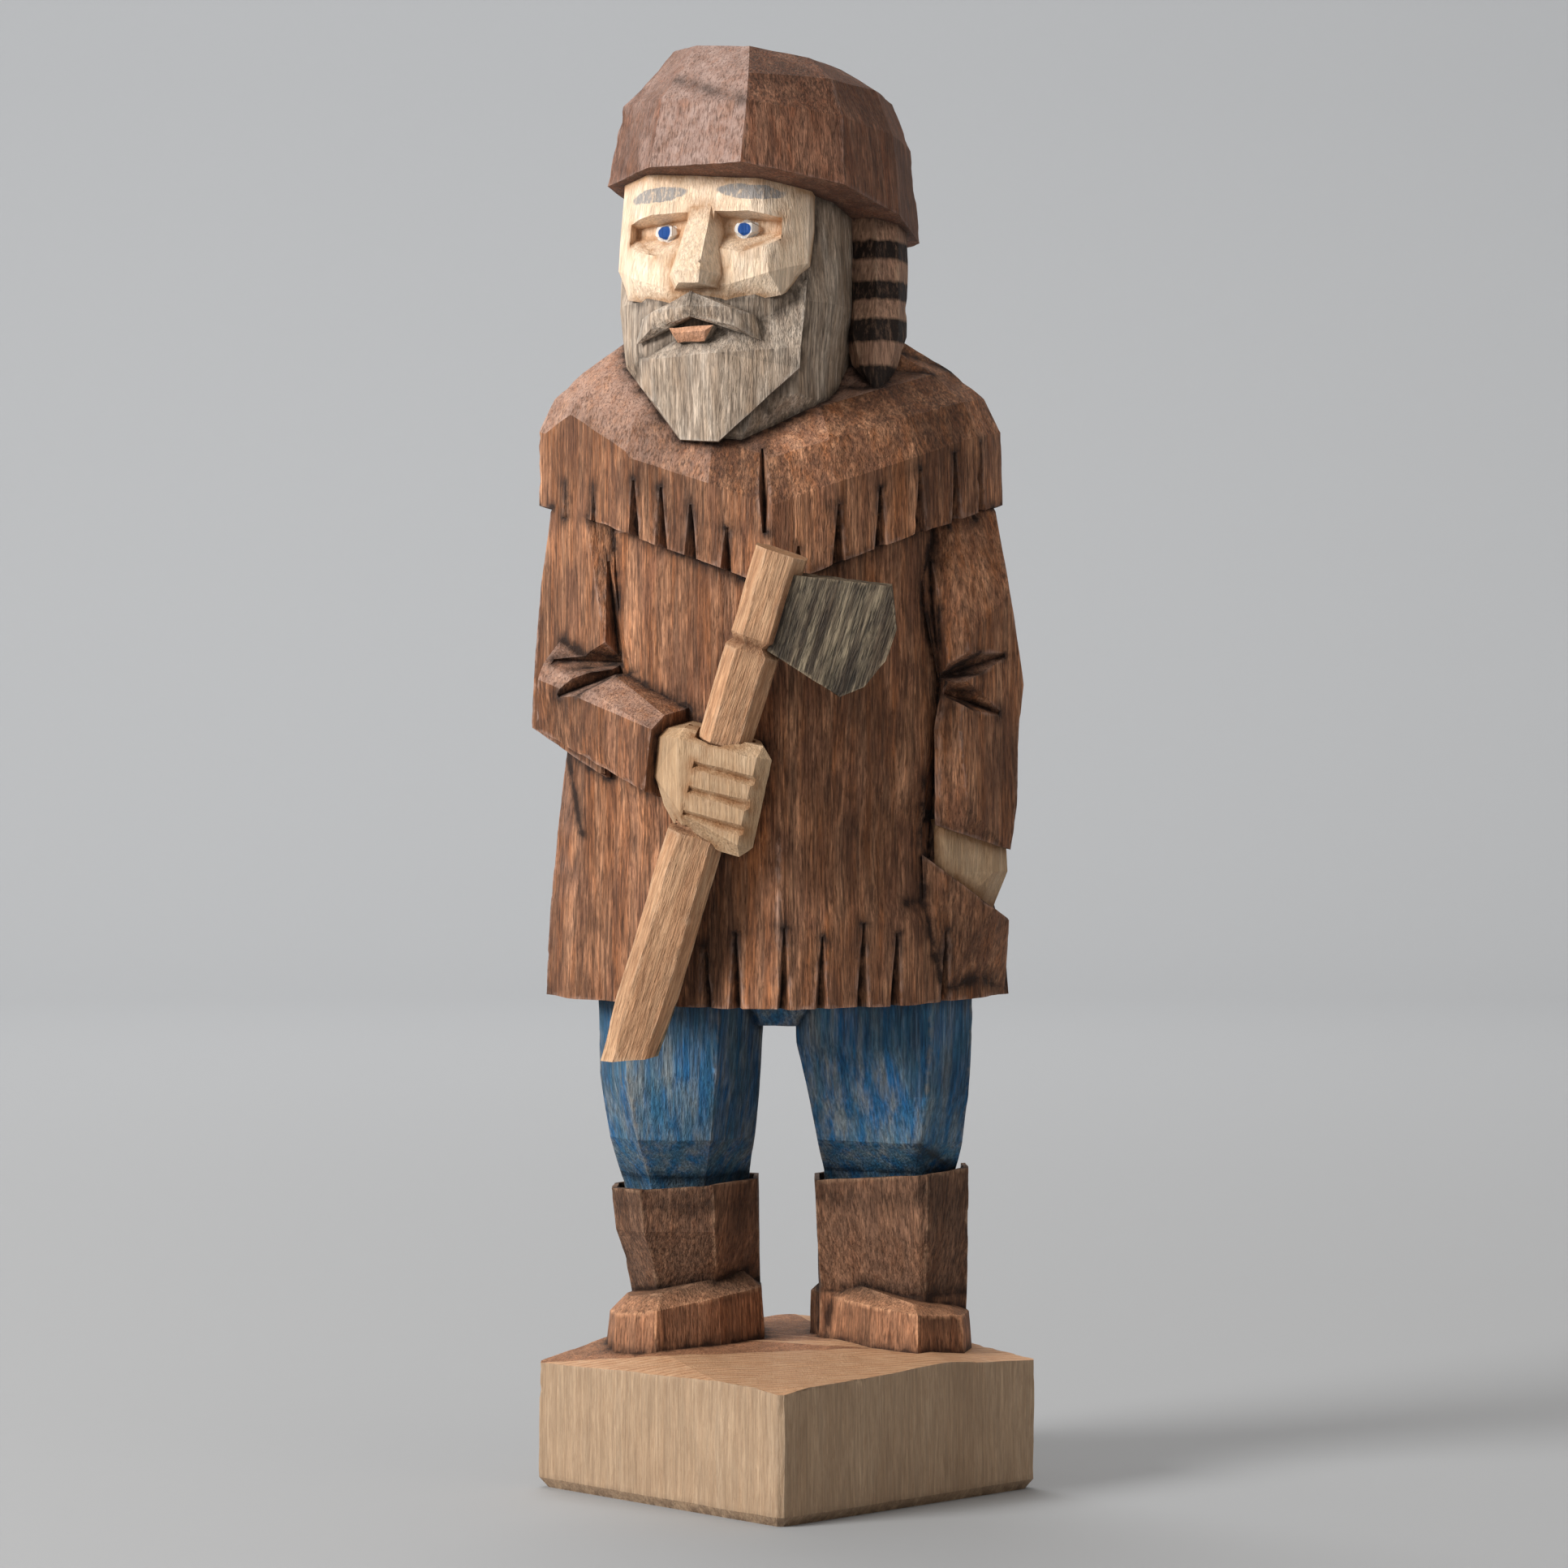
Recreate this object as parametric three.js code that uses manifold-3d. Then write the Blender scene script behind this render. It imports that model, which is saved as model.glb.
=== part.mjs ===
// A mountain man, whittled in flat planes from one square block of basswood that was turned
// corner to the front, with a separate whittled axe through his fist.
// Millimetres, +Z up. X runs to the viewer's right and -Y comes towards the viewer.
// The origin is the middle of the underside of the base.

import * as THREE from 'three';
import { ConvexGeometry } from 'three/addons/geometries/ConvexGeometry.js';
import { LoftGeometry } from 'three/addons/geometries/LoftGeometry.js';
import { mergeVertices } from 'three/addons/utils/BufferGeometryUtils.js';
import Module from 'manifold-3d';

const wasm = await Module();
wasm.setup();

// Driving dimensions

const BLOCK_SIDE = 50.8;
const BLOCK_HALF_DIAGONAL = BLOCK_SIDE / Math.SQRT2;
const BLOCK_TURN = THREE.MathUtils.degToRad(1.3);
const BLANK_HALF_DIAGONAL = 37.3;
const FIGURE_TOP = 207.9;

const BASE = { top: 20.8, swell: 0.4, cornerChamfer: 1.0, footInset: 0.9, footRise: 1.4 };

// Each facet on top of the base is a plane: its height over the origin and its two slopes.
const BASE_TOP_FACETS = [
  { height: 23.67, alongX: 0.155, alongY: 0.114 },
  { height: 22.88, alongX: -0.119, alongY: 0.021 },
  { height: 20.57, alongX: 0, alongY: 0.055 },
  { height: 25.3, alongX: 0, alongY: 0.2 },
];

// Rows of a limb: height, left, right, front, back.
const LEFT_TROUSER_ROWS = [
  [38.6, -23.2, -6.1, 5.0, 17.0],
  [44.6, -24.2, -5.4, 2.2, 17.6],
  [50.6, -25.7, -4.6, -3.2, 17.2],
  [60.0, -27.1, -3.8, -4.8, 16.6],
  [73.5, -27.4, -3.1, -5.6, 16.0],
];
const RIGHT_TROUSER_ROWS = [
  [38.6, 6.1, 23.8, 4.2, 17.0],
  [45.4, 5.7, 24.8, 0.6, 17.6],
  [50.2, 4.6, 25.6, -4.0, 17.2],
  [57.0, 3.2, 26.5, -5.4, 16.8],
  [64.5, 1.5, 26.8, -6.0, 16.4],
  [73.5, 1.2, 27.0, -6.4, 16.0],
];
const LEFT_BOOT_ROWS = [
  [19.4, -22.6, -3.7, 4.6, 18.6],
  [27.6, -22.9, -3.8, 4.2, 18.6],
  [33.0, -23.7, -3.9, 1.6, 18.8],
  [37.0, -24.9, -4.0, -0.2, 19.2],
  [43.1, -25.5, -4.1, -1.6, 19.6],
];
const RIGHT_BOOT_ROWS = [
  [19.4, 4.6, 26.2, 1.4, 18.6],
  [27.6, 4.9, 26.4, 0.8, 18.6],
  [36.0, 4.6, 26.6, -1.6, 19.0],
  [44.2, 4.3, 26.5, -2.9, 19.6],
];
// How much of each corner is cut off, along X and along Y. Both boots are turned out.
const LEFT_LEG_CORNERS = {
  frontLeft: [4.2, 6.0],
  frontRight: [6.4, 8.6],
  backRight: [3.4, 3.4],
  backLeft: [9.6, 7.0],
};
const RIGHT_LEG_CORNERS = {
  frontLeft: [14.6, 7.6],
  frontRight: [6.2, 5.6],
  backRight: [10.4, 7.4],
  backLeft: [3.4, 3.4],
};
const CUFF = { rimDepth: 2.2, wall: 0.55, draft: 0.45, rise: 1.4, leftTilt: 0.055, rightTilt: 0.09 };
const CROTCH_HEIGHT = 66.9;

// A foot: sole corners from the heel round by the toe. Its edge and instep slope along X.
const LEFT_SOLE = [
  [-12, 21.6], [-24.6, 13], [-26.4, 6.5], [-25.2, 0], [-22.0, -3.6],
  [-18.9, -4.6], [-9.4, 0.6], [-3.2, 6.6], [-3.2, 14], [-4.4, 21.6],
];
const RIGHT_SOLE = [
  [14, 21.6], [5.0, 21.6], [3.2, 13.5], [7.2, 5.2], [12.4, -2.0],
  [19.0, -6.6], [25.8, -2.0], [27.1, 4.6], [26.6, 10],
];
const FOOT = { bottom: 19.4, edgeSet: 0.5, instepSet: 3.2, heelShift: 3 };
const LEFT_FOOT = { edge: 26.6, edgeSlope: 0.15, instep: 29.0, instepSlope: 0.19 };
const RIGHT_FOOT = { edge: 26.0, edgeSlope: -0.09, instep: 27.7, instepSlope: -0.2 };

// Rows of the coat: height, left, right, front, back, and how far its plan is from a plain diamond.
const COAT_ROWS = [
  [70.4, -34.9, 32.3, -20.9, 22.0, 1.3],
  [82.0, -34.3, 31.7, -20.7, 21.8, 1.3],
  [85.4, -34.1, 29.9, -20.65, 21.7, 1.31],
  [95.0, -33.2, 29.4, -20.5, 21.4, 1.32],
  [107.0, -31.8, 28.2, -20.4, 21.0, 1.5],
  [119.0, -29.2, 25.6, -20.4, 20.6, 1.7],
  [138.0, -29.0, 25.0, -20.2, 19.8, 1.75],
  [156.0, -24.0, 19.5, -14.0, 16.0, 1.6],
];
const COAT_RIDGE_X = -1.2;
const COAT_HEM_LIFT = 1.3;

// The cape hangs lowest at the middle of the chest and of the back.
const CAPE_HEM = { sideHeight: 142.6, frontHeight: 129.6, backHeight: 133.0 };
// Rows above the hem: rise at the sides, rise at the front, left, right, front, back.
const CAPE_ROWS = [
  [0.0, 0.0, -35.8, 31.4, -23.8, 24.0],
  [10.6, 11.5, -35.8, 31.0, -23.4, 23.6],
  [15.4, 18.5, -33.6, 28.6, -20.6, 20.8],
  [19.4, 24.0, -29.4, 23.9, -16.0, 16.5],
  [23.4, 26.5, -23.6, 17.2, -8.0, 12.0],
];
const CAPE_RIDGE_X = -2.0;
const CAPE_FULLNESS = 1.45;

// Fringe cuts, by where they meet the hem and how far they run up it.
const CAPE_FRINGE = [
  [-32.9, 9.0], [-28.3, 8.0], [-21.8, 8.0], [-17.8, 8.4], [-13.6, 7.4], [-8.4, 6.0],
  [1.8, 4.4], [7.4, 8.2], [13.4, 8.6], [19.0, 9.0], [24.2, 9.6], [28.1, 10.0],
];
const COAT_FRINGE = [
  [-31.8, 6.4], [-27.6, 6.8], [-11.5, 8.8], [-7.2, 10.8], [-0.4, 11.4], [5.0, 10.2],
  [11.0, 12.0], [15.7, 10.6], [23.0, 10.8], [28.0, 7.8],
];
const FRINGE_CUT = { width: 2.2, depth: 1.9 };
const BACK_FRINGE = { cuts: 9, left: -25, right: 21, length: 8 };

// Sleeves: height, left, right, front, back.
const LEFT_SLEEVE_ROWS = [
  [103.0, -36.6, -25.0, -10.4, 6.0],
  [111.0, -37.0, -25.0, -11.4, 7.4],
  [118.0, -36.6, -24.2, -11.8, 8.0],
  [131.0, -35.5, -24.0, -9.6, 8.0],
  [141.5, -34.2, -24.0, -8.0, 8.0],
  [151.0, -29.0, -22.0, -4.0, 5.0],
];
const RIGHT_SLEEVE_ROWS = [
  [90.0, 21.6, 32.0, -10.2, 6.6],
  [99.0, 21.2, 33.2, -11.8, 7.4],
  [110.0, 21.0, 33.6, -12.8, 8.0],
  [116.4, 21.9, 34.2, -12.6, 8.0],
  [131.0, 18.9, 31.9, -10.6, 8.0],
  [141.5, 20.8, 30.3, -7.8, 8.0],
  [151.0, 18.0, 25.0, -4.0, 5.0],
];
// The sleeves run flush into the coat, so only their outer corners are cut off.
const SLEEVE_BACK_CORNERS = { backRight: [3.4, 3.4], backLeft: [3.4, 3.4] };
const LEFT_SLEEVE_CORNERS = { frontLeft: [3.4, 3.4], frontRight: [0.6, 0.6], ...SLEEVE_BACK_CORNERS };
const RIGHT_SLEEVE_CORNERS = { frontLeft: [0.6, 0.6], frontRight: [7.4, 5.0], ...SLEEVE_BACK_CORNERS };
// The elbow and the right cuff are each cut off along a slanting line.
const ELBOW_LINE = { height: 110.2, atX: -36.9, slope: -0.64 };
const RIGHT_CUFF_LINE = { height: 94.4, atX: 27, slope: -0.33 };

// The bent forearm's section at the elbow, inside the sleeve, and at its cuff.
const FOREARM = {
  elbow: [
    [-36.0, -7.6, 110.0], [-35.6, -9.0, 117.0], [-34.6, -8.0, 119.6],
    [-32.0, -4.0, 123.4], [-31.0, 3.0, 112.0],
  ],
  cuff: [
    [-19.9, -22.3, 101.0], [-18.9, -22.6, 109.7], [-17.1, -20.4, 111.8],
    [-11.4, -13.6, 113.8], [-13.5, -14.6, 98.6],
  ],
  wristInset: 0.36,
};

// The closed hand, in a frame that leans with the axe handle.
const FIST = {
  centre: [-8.7, -22.2, 101.0],
  lean: THREE.MathUtils.degToRad(13),
  turn: THREE.MathUtils.degToRad(-20),
  halfWidth: 7.6,
  halfHeight: 7.9,
  front: 6.6,
  back: 7.0,
  chamfer: 1.7,
  wristChamfer: 4.2,
  backInset: { left: 1.6, right: 5.0 },
};
const FINGERS = {
  grooves: 3,
  spacing: 3.5,
  first: 3.3,
  width: 1.5,
  depth: 0.9,
  start: -3.0,
  end: 6.3,
  fall: 0.5,
};

// The hand in the pocket.
const POCKET_HAND = {
  left: 21.2,
  right: 32.2,
  front: -10.8,
  slant: 6.5,
  back: 2.0,
};
// Its rows: height, how far it is drawn back, and how far drawn in at the right.
const POCKET_HAND_ROWS = [
  [98, 0, 0.7],
  [89.6, 0.7, 0.2],
  [82, 3.0, 2.9],
];
// The pocket's slanting edge stands proud of the fingers and fades into the coat below.
const POCKET = {
  edge: [[19.4, -10.9], [22.6, -11.4], [29.5, -7.4], [32.2, -3.2], [32.2, 4.0], [21, -1]],
  fade: [[19.4, -9.6], [22.6, -9.0], [29.5, -3.0], [31.9, -0.4], [31.9, 2.6], [21, -1]],
  left: 20.6,
  right: 32.0,
  leftHeight: 91.2,
  rightHeight: 82.7,
  fadeHeight: 72.4,
};

// The head looks to the viewer's left, in a frame of its own: across, forward and up.
const HEAD = { x: -7.0, y: -2.6, turn: THREE.MathUtils.degToRad(20), roundness: 2.3 };
// Rows: height, half width, front, back, and how far the beard's end is swept to the side.
const HEAD_ROWS = [
  [147.6, 5.6, 15.0, 5.0, 1.2],
  [151.6, 11.4, 16.6, -8.0, 1.4],
  [157.0, 14.5, 17.0, -14.0, 1.3],
  [162.0, 15.9, 17.0, -16.0, 0.0],
  [170.5, 16.9, 16.6, -17.0, 0.0],
  [178.0, 16.7, 13.4, -17.0, 0.0],
  [192.0, 15.6, 11.6, -16.0, 0.0],
];
// The beard's flat front, as lines from low to high: its ridge, the corners beside the ridge,
// its end at the left, and its top under the mouth.
const BEARD_FRONT = {
  ridge: [[-9.6, -20.9, 150.2], [-9.6, -21.5, 162.6]],
  leftCorner: [[-18.7, -17.5, 150.8], [-19.0, -18.0, 162.2]],
  rightCorner: [[1.8, -19.9, 160.8], [2.0, -19.6, 163.8]],
  leftEnd: [[-22.3, -7.3, 156.0], [-22.5, -7.4, 163.0]],
  top: [[-13.5, -17.6, 166.2], [3.0, -16.7, 173.5]],
  deep: -6,
};
// Slanting cuts under the beard, each by three places on its plane, in turn as seen from outside.
const BEARD_CUTS = [
  [[-23.1, -5, 162], [-15.1, 10, 150.7], [-15.1, -5, 150.7]],
  [[-9.6, -20.9, 150.2], [1.9, -13.4, 152.6], [1.8, -19.9, 160.8]],
];
const FACE = {
  browHeight: 184.2,
  eyeHeight: 180.4,
  noseBase: 171.6,
  mouthHeight: 166.9,
  cheekHeight: 174.6,
  foreheadTop: 191,
  eyeAcross: 6.1,
  browFront: 15.0,
  socketDepth: 12.3,
  noseTip: 20.6,
};

// The hat's corners at the brim, from the front ridge round to the viewer's right.
const HAT_CORNERS = [
  [-6.4, -26.6], [8.3, -21.6], [16.2, -9.0], [19.6, 6.0], [13.0, 18.0],
  [-3.0, 22.5], [-19.0, 15.0], [-25.8, -4.0], [-19.4, -17.2],
];
const HAT_CENTRE = [-3.2, -2.0];
const HAT_BRIM = { height: 184.5, alongX: -0.128, alongY: -0.131 };
// Rows above the brim: share of the brim's size, height, slope along X and along Y, shift along X.
const HAT_ROWS = [
  [0.92, 197.0, -0.12, 0.0, 0.5],
  [0.8, 201.8, -0.02, 0.0, 0.4],
  [0.58, 205.85, -0.125, 0.0, -0.2],
];

// Rows of the tail: height, middle along X and along Y, half width, half depth.
const TAIL_ROWS = [
  [158.8, 13.0, -8.6, 1.0, 1.2],
  [162.2, 12.7, -6.2, 3.2, 3.4],
  [166.6, 12.8, -4.0, 4.6, 5.2],
  [171.6, 12.9, -1.6, 4.6, 6.4],
  [178.0, 12.8, 0.0, 4.8, 6.8],
  [188.0, 12.8, 1.4, 4.4, 6.0],
];

// The axe, in a frame of its own: right across the handle, forward, and down along it.
const AXE = {
  top: new THREE.Vector3(-0.6, -28.9, 134.4),
  bottom: new THREE.Vector3(-22.7, -17.0, 61.8),
  upperWidth: 7.3,
  gripWidth: 6.0,
  lowerWidth: 8.5,
  depth: 7.2,
  gripDepth: 5.6,
  chamfer: 1.7,
  grooveAt: 13.4,
  gripTop: 28.6,
  gripBottom: 41.0,
  fistClearance: 0.35,
};
const AXE_HEAD = {
  outline: [
    [2.0, 2.4], [15.9, 0.0], [18.3, 5.6], [18.1, 10.2], [16.4, 14.6], [13.6, 17.1], [2.0, 13.4],
  ],
  eyeThickness: 5.2,
  edgeThickness: 2.6,
  centre: 0.4,
};

// Building helpers

const HAIR = 0.004;
const vec = (x, y, z) => new THREE.Vector3(x, y, z);
const UP = vec(0, 0, 1);

/** A closed three.js geometry as a solid that can be joined and cut. */
function toSolid(geometry) {
  const bare = new THREE.BufferGeometry();
  bare.setAttribute('position', geometry.getAttribute('position'));
  bare.setIndex(geometry.getIndex());
  const merged = mergeVertices(bare, 1e-4);
  const index = merged.index.array;
  const triangles = [];
  for (let i = 0; i < index.length; i += 3) {
    const [a, b, c] = index.slice(i, i + 3);
    if (a !== b && b !== c && c !== a) {
      triangles.push(a, b, c);
    }
  }
  const mesh = new wasm.Mesh({
    numProp: 3,
    vertProperties: Float32Array.from(merged.attributes.position.array),
    triVerts: Uint32Array.from(triangles),
  });
  return new wasm.Manifold(mesh);
}

/** A solid back as a three.js geometry. */
function toGeometry(solid) {
  const mesh = solid.getMesh();
  const geometry = new THREE.BufferGeometry();
  geometry.setAttribute('position', new THREE.BufferAttribute(mesh.vertProperties, 3));
  geometry.setIndex(new THREE.BufferAttribute(mesh.triVerts, 1));
  geometry.computeVertexNormals();
  return geometry;
}

/** Joins corners that lie closer together than a hair, and drops the triangles that this closes. */
function joinNearCorners(points, triangles) {
  const target = points.map((_, i) => i);
  const find = (i) => (target[i] === i ? i : find(target[i]));
  for (const triangle of triangles) {
    triangle.forEach((a, i) => {
      const b = triangle[(i + 1) % 3];
      if (points[a].distanceTo(points[b]) < HAIR) {
        target[Math.max(find(a), find(b))] = Math.min(find(a), find(b));
      }
    });
  }
  return triangles.map((triangle) => triangle.map(find)).filter(([a, b, c]) => a !== b && b !== c && c !== a);
}

/** Finds a triangle so flat that a corner lies on its longest edge, and names that edge first. */
function flatTriangle(points, [a, b, c]) {
  const turns = [[a, b, c], [b, c, a], [c, a, b]];
  const length = ([from, to]) => points[from].distanceTo(points[to]);
  const longest = turns.reduce((best, turn) => (length(turn) > length(best) ? turn : best));
  const area = new THREE.Triangle(points[a], points[b], points[c]).getArea();
  return (2 * area) / length(longest) < HAIR ? longest : null;
}

/** Turns the longest edge of each flat triangle, which leaves two sound ones in place of a flat one. */
function turnFlatEdges(points, triangles) {
  const key = (from, to) => `${from} ${to}`;
  const passes = 4;
  for (let pass = 0; pass < passes; pass += 1) {
    const owner = new Map();
    const touched = new Set();
    triangles.forEach((triangle, t) => {
      triangle.forEach((from, i) => owner.set(key(from, triangle[(i + 1) % 3]), t));
    });
    triangles.forEach((triangle, t) => {
      const flat = flatTriangle(points, triangle);
      const next = flat ? owner.get(key(flat[1], flat[0])) : undefined;
      if (next === undefined || touched.has(t) || touched.has(next)) {
        return;
      }
      const [a, b, m] = flat;
      const c = triangles[next].find((corner) => corner !== a && corner !== b);
      if (owner.has(key(m, c)) || owner.has(key(c, m))) {
        return;
      }
      triangles[t] = [m, a, c];
      triangles[next] = [m, c, b];
      touched.add(t).add(next);
    });
  }
  return triangles;
}

/** A closed mesh without the hair-thin triangles that cutting leaves behind. */
function withoutSlivers(geometry) {
  const position = geometry.getAttribute('position');
  const index = Array.from(geometry.getIndex().array);
  const corner = (_, i) => new THREE.Vector3().fromBufferAttribute(position, i);
  const points = Array.from({ length: position.count }, corner);
  const triangles = Array.from({ length: index.length / 3 }, (_, i) => index.slice(3 * i, 3 * i + 3));
  geometry.setIndex(turnFlatEdges(points, joinNearCorners(points, triangles)).flat());
  return geometry;
}

function middleOf(points) {
  return points.reduce((sum, point) => sum.add(point), vec(0, 0, 0)).divideScalar(points.length);
}

/** The convex chunk around some points. */
function chunk(points) {
  return toSolid(new ConvexGeometry(points));
}

/** A skin over closed sections, ordered counterclockwise from above, whose ends close on their middles. */
function loft(sections) {
  const pinch = (section) => {
    const middle = middleOf(section);
    return section.map(() => middle);
  };
  return toSolid(new LoftGeometry([pinch(sections[0]), ...sections, pinch(sections[sections.length - 1])]));
}

function join(solids) {
  return solids.reduce((sum, solid) => sum.add(solid));
}

/** Cuts away everything above the plane height + alongX * x + alongY * y. */
function shaveAbove(solid, plane) {
  const reach = 60;
  const corners = [[-reach, -reach], [reach, -reach], [reach, reach], [-reach, reach]];
  const floor = corners.map(([x, y]) => vec(x, y, plane.height + plane.alongX * x + plane.alongY * y));
  const ceiling = floor.map((point) => vec(point.x, point.y, point.z + FIGURE_TOP));
  return solid.subtract(chunk([...floor, ...ceiling]));
}

/** The slab beyond the plane through three places, for cutting one flat facet. */
function slabBeyond(a, b, c) {
  const reach = 45;
  const along = b.clone().sub(a).normalize();
  const out = along.clone().cross(c.clone().sub(a)).normalize();
  const across = out.clone().cross(along);
  const corners = [[-reach, -reach], [reach, -reach], [reach, reach], [-reach, reach]];
  const inner = corners.map(([u, v]) => a.clone().addScaledVector(along, u).addScaledVector(across, v));
  return chunk([...inner, ...inner.map((point) => point.clone().addScaledVector(out, reach))]);
}

/** A level rectangle with its corners cut off, as eight points. */
function cutRectangle(height, left, right, front, back, corners) {
  const { frontLeft, frontRight, backRight, backLeft } = corners;
  return [
    vec(left + frontLeft[0], front, height),
    vec(right - frontRight[0], front, height),
    vec(right, front + frontRight[1], height),
    vec(right, back - backRight[1], height),
    vec(right - backRight[0], back, height),
    vec(left + backLeft[0], back, height),
    vec(left, back - backLeft[1], height),
    vec(left, front + frontLeft[1], height),
  ];
}

/** The same cut on every corner. */
function evenCorners(size) {
  const corner = [size, size];
  return { frontLeft: corner, frontRight: corner, backRight: corner, backLeft: corner };
}

/** A level outline between a diamond (power 1) and an ellipse (power 2), with a ridge at the front. */
function softOutline(count, power, sides, heightAt) {
  const { left, right, front, back, ridge } = sides;
  return Array.from({ length: count }, (_, i) => {
    const angle = -Math.PI / 2 + (i / count) * 2 * Math.PI;
    const across = Math.cos(angle);
    const along = Math.sin(angle);
    const x = Math.sign(across) * Math.abs(across) ** (2 / power);
    const y = Math.abs(along) ** (2 / power);
    const px = ridge + (x < 0 ? (ridge - left) * x : (right - ridge) * x);
    const py = along < 0 ? front * y : back * y;
    return vec(px, py, heightAt(Math.abs(x), along));
  });
}

/** A V-shaped knife cut from one surface point to another, which can widen along its way. */
function knifeCut(start, end, normal, startSize, endSize, proud = 0.7) {
  const out = normal.clone().normalize();
  const side = end.clone().sub(start).cross(out).normalize();
  const corners = [[start, startSize], [end, endSize]].flatMap(([point, size]) => {
    const flare = 1 + proud / Math.max(size.depth, 0.3);
    const rim = point.clone().addScaledVector(out, proud);
    return [
      rim.clone().addScaledVector(side, (size.width / 2) * flare),
      rim.clone().addScaledVector(side, (-size.width / 2) * flare),
      point.clone().addScaledVector(out, -size.depth),
    ];
  });
  return chunk(corners);
}

/** Looks along Y at a solid and gives the surface point and its outward normal there. */
function surfaceProbe(solid) {
  const mesh = new THREE.Mesh(toGeometry(solid));
  const caster = new THREE.Raycaster();
  return (x, z, side = -1) => {
    caster.set(vec(x, side * 100, z), vec(0, -side, 0));
    const [hit] = caster.intersectObject(mesh);
    return hit ? { point: hit.point, normal: hit.face.normal } : null;
  };
}

/** One cut of a fringe, from the hem up. */
function fringeCut(probe, x, hemHeight, length, side = -1) {
  const low = probe(x, hemHeight + 0.6, side);
  const high = probe(x * 0.995, hemHeight + length, side);
  if (!low || !high) {
    return null;
  }
  const end = low.point.clone().addScaledVector(UP, -1.6);
  return knifeCut(high.point, end, low.normal, { width: 0.4, depth: 0.3 }, FRINGE_CUT);
}

// The base

function buildBase() {
  const square = (halfDiagonal, height) => [0, 1, 2, 3].flatMap((corner) => {
    const spread = BASE.cornerChamfer / halfDiagonal;
    const reach = halfDiagonal - BASE.cornerChamfer / 2;
    return [-spread / 2, spread / 2].map((nudge) => {
      const angle = corner * (Math.PI / 2) - Math.PI / 2 - BLOCK_TURN + nudge;
      return vec(Math.cos(angle) * reach, Math.sin(angle) * reach, height);
    });
  });
  const block = loft([
    square(BLOCK_HALF_DIAGONAL - BASE.footInset, 0),
    square(BLOCK_HALF_DIAGONAL + BASE.swell, BASE.footRise),
    square(BLOCK_HALF_DIAGONAL + BASE.swell, BASE.top),
  ]);
  return BASE_TOP_FACETS.reduce(shaveAbove, block);
}

// Legs and boots

/** A limb's rows as one solid, whose top row may rise along X. */
function buildLeg(rows, corners, topTilt = 0) {
  return loft(rows.map((row, i) => {
    const tilt = i === rows.length - 1 ? topTilt : 0;
    return cutRectangle(...row, corners).map((point) => point.setZ(point.z + tilt * (point.x - row[1])));
  }));
}

/** A boot's shaft, hollowed at its rim so that the cuff stands clear of the trouser leg. */
function buildShaft(rows, corners, tilt) {
  const [height, left, right, front, back] = rows[rows.length - 1];
  const { wall, draft, rimDepth, rise } = CUFF;
  const inside = (z, inset) => [z, left + inset, right - inset, front + inset, back - inset];
  const mouth = [inside(height - rimDepth, wall + draft), inside(height + rise, wall)];
  return buildLeg(rows, corners, tilt).subtract(buildLeg(mouth, corners, tilt));
}

function buildFoot(sole, { edge, edgeSlope, instep, instepSlope }) {
  const outline = sole.map(([x, y]) => vec(x, y, 0));
  const middle = middleOf(outline).add(vec(0, FOOT.heelShift, 0));
  const level = (height, slope, amount) => outline.map((point) => {
    const inward = middle.clone().sub(point).normalize();
    const place = point.clone().addScaledVector(inward, amount);
    return place.setZ(height + slope * (place.x - middle.x));
  });
  return chunk([
    ...level(FOOT.bottom, 0, 0),
    ...level(edge, edgeSlope, FOOT.edgeSet),
    ...level(instep, instepSlope, FOOT.instepSet),
  ]);
}

function buildLegs() {
  const crotch = chunk([
    ...cutRectangle(CROTCH_HEIGHT, -4.6, 2.4, 1, 12, evenCorners(1)),
    ...cutRectangle(74, -8, 6, -3, 14, evenCorners(2)),
  ]);
  return join([
    buildShaft(LEFT_BOOT_ROWS, LEFT_LEG_CORNERS, CUFF.leftTilt),
    buildShaft(RIGHT_BOOT_ROWS, RIGHT_LEG_CORNERS, CUFF.rightTilt),
    buildLeg(LEFT_TROUSER_ROWS, LEFT_LEG_CORNERS),
    buildLeg(RIGHT_TROUSER_ROWS, RIGHT_LEG_CORNERS),
    buildFoot(LEFT_SOLE, LEFT_FOOT),
    buildFoot(RIGHT_SOLE, RIGHT_FOOT),
    crotch,
  ]);
}

// Coat, cape and sleeves

function buildCoatBody() {
  const outline = ([height, left, right, front, back, power], row) => {
    const lift = row === 0 ? COAT_HEM_LIFT : 0;
    const sides = { left, right, front, back, ridge: COAT_RIDGE_X };
    return softOutline(16, power, sides, (reach) => height + lift * reach ** 3);
  };
  return loft(COAT_ROWS.map(outline));
}

function capeOutline(row, shrink = 0) {
  const [sideRise, middleRise, left, right, front, back] = row;
  const heightAt = (reach, along) => {
    const middle = along < 0 ? CAPE_HEM.frontHeight : CAPE_HEM.backHeight;
    const hem = THREE.MathUtils.lerp(middle, CAPE_HEM.sideHeight, reach);
    return hem + THREE.MathUtils.lerp(middleRise, sideRise, reach);
  };
  const sides = {
    left: left + shrink,
    right: right - shrink,
    front: front + shrink,
    back: back - shrink,
    ridge: CAPE_RIDGE_X,
  };
  return softOutline(16, CAPE_FULLNESS, sides, heightAt);
}

function buildCape() {
  const underside = capeOutline(CAPE_ROWS[0], 6);
  return loft([underside, ...CAPE_ROWS.map((row) => capeOutline(row))]);
}

function buildForearm() {
  return chunk([...FOREARM.elbow, ...FOREARM.cuff].map((place) => vec(...place)));
}

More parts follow.
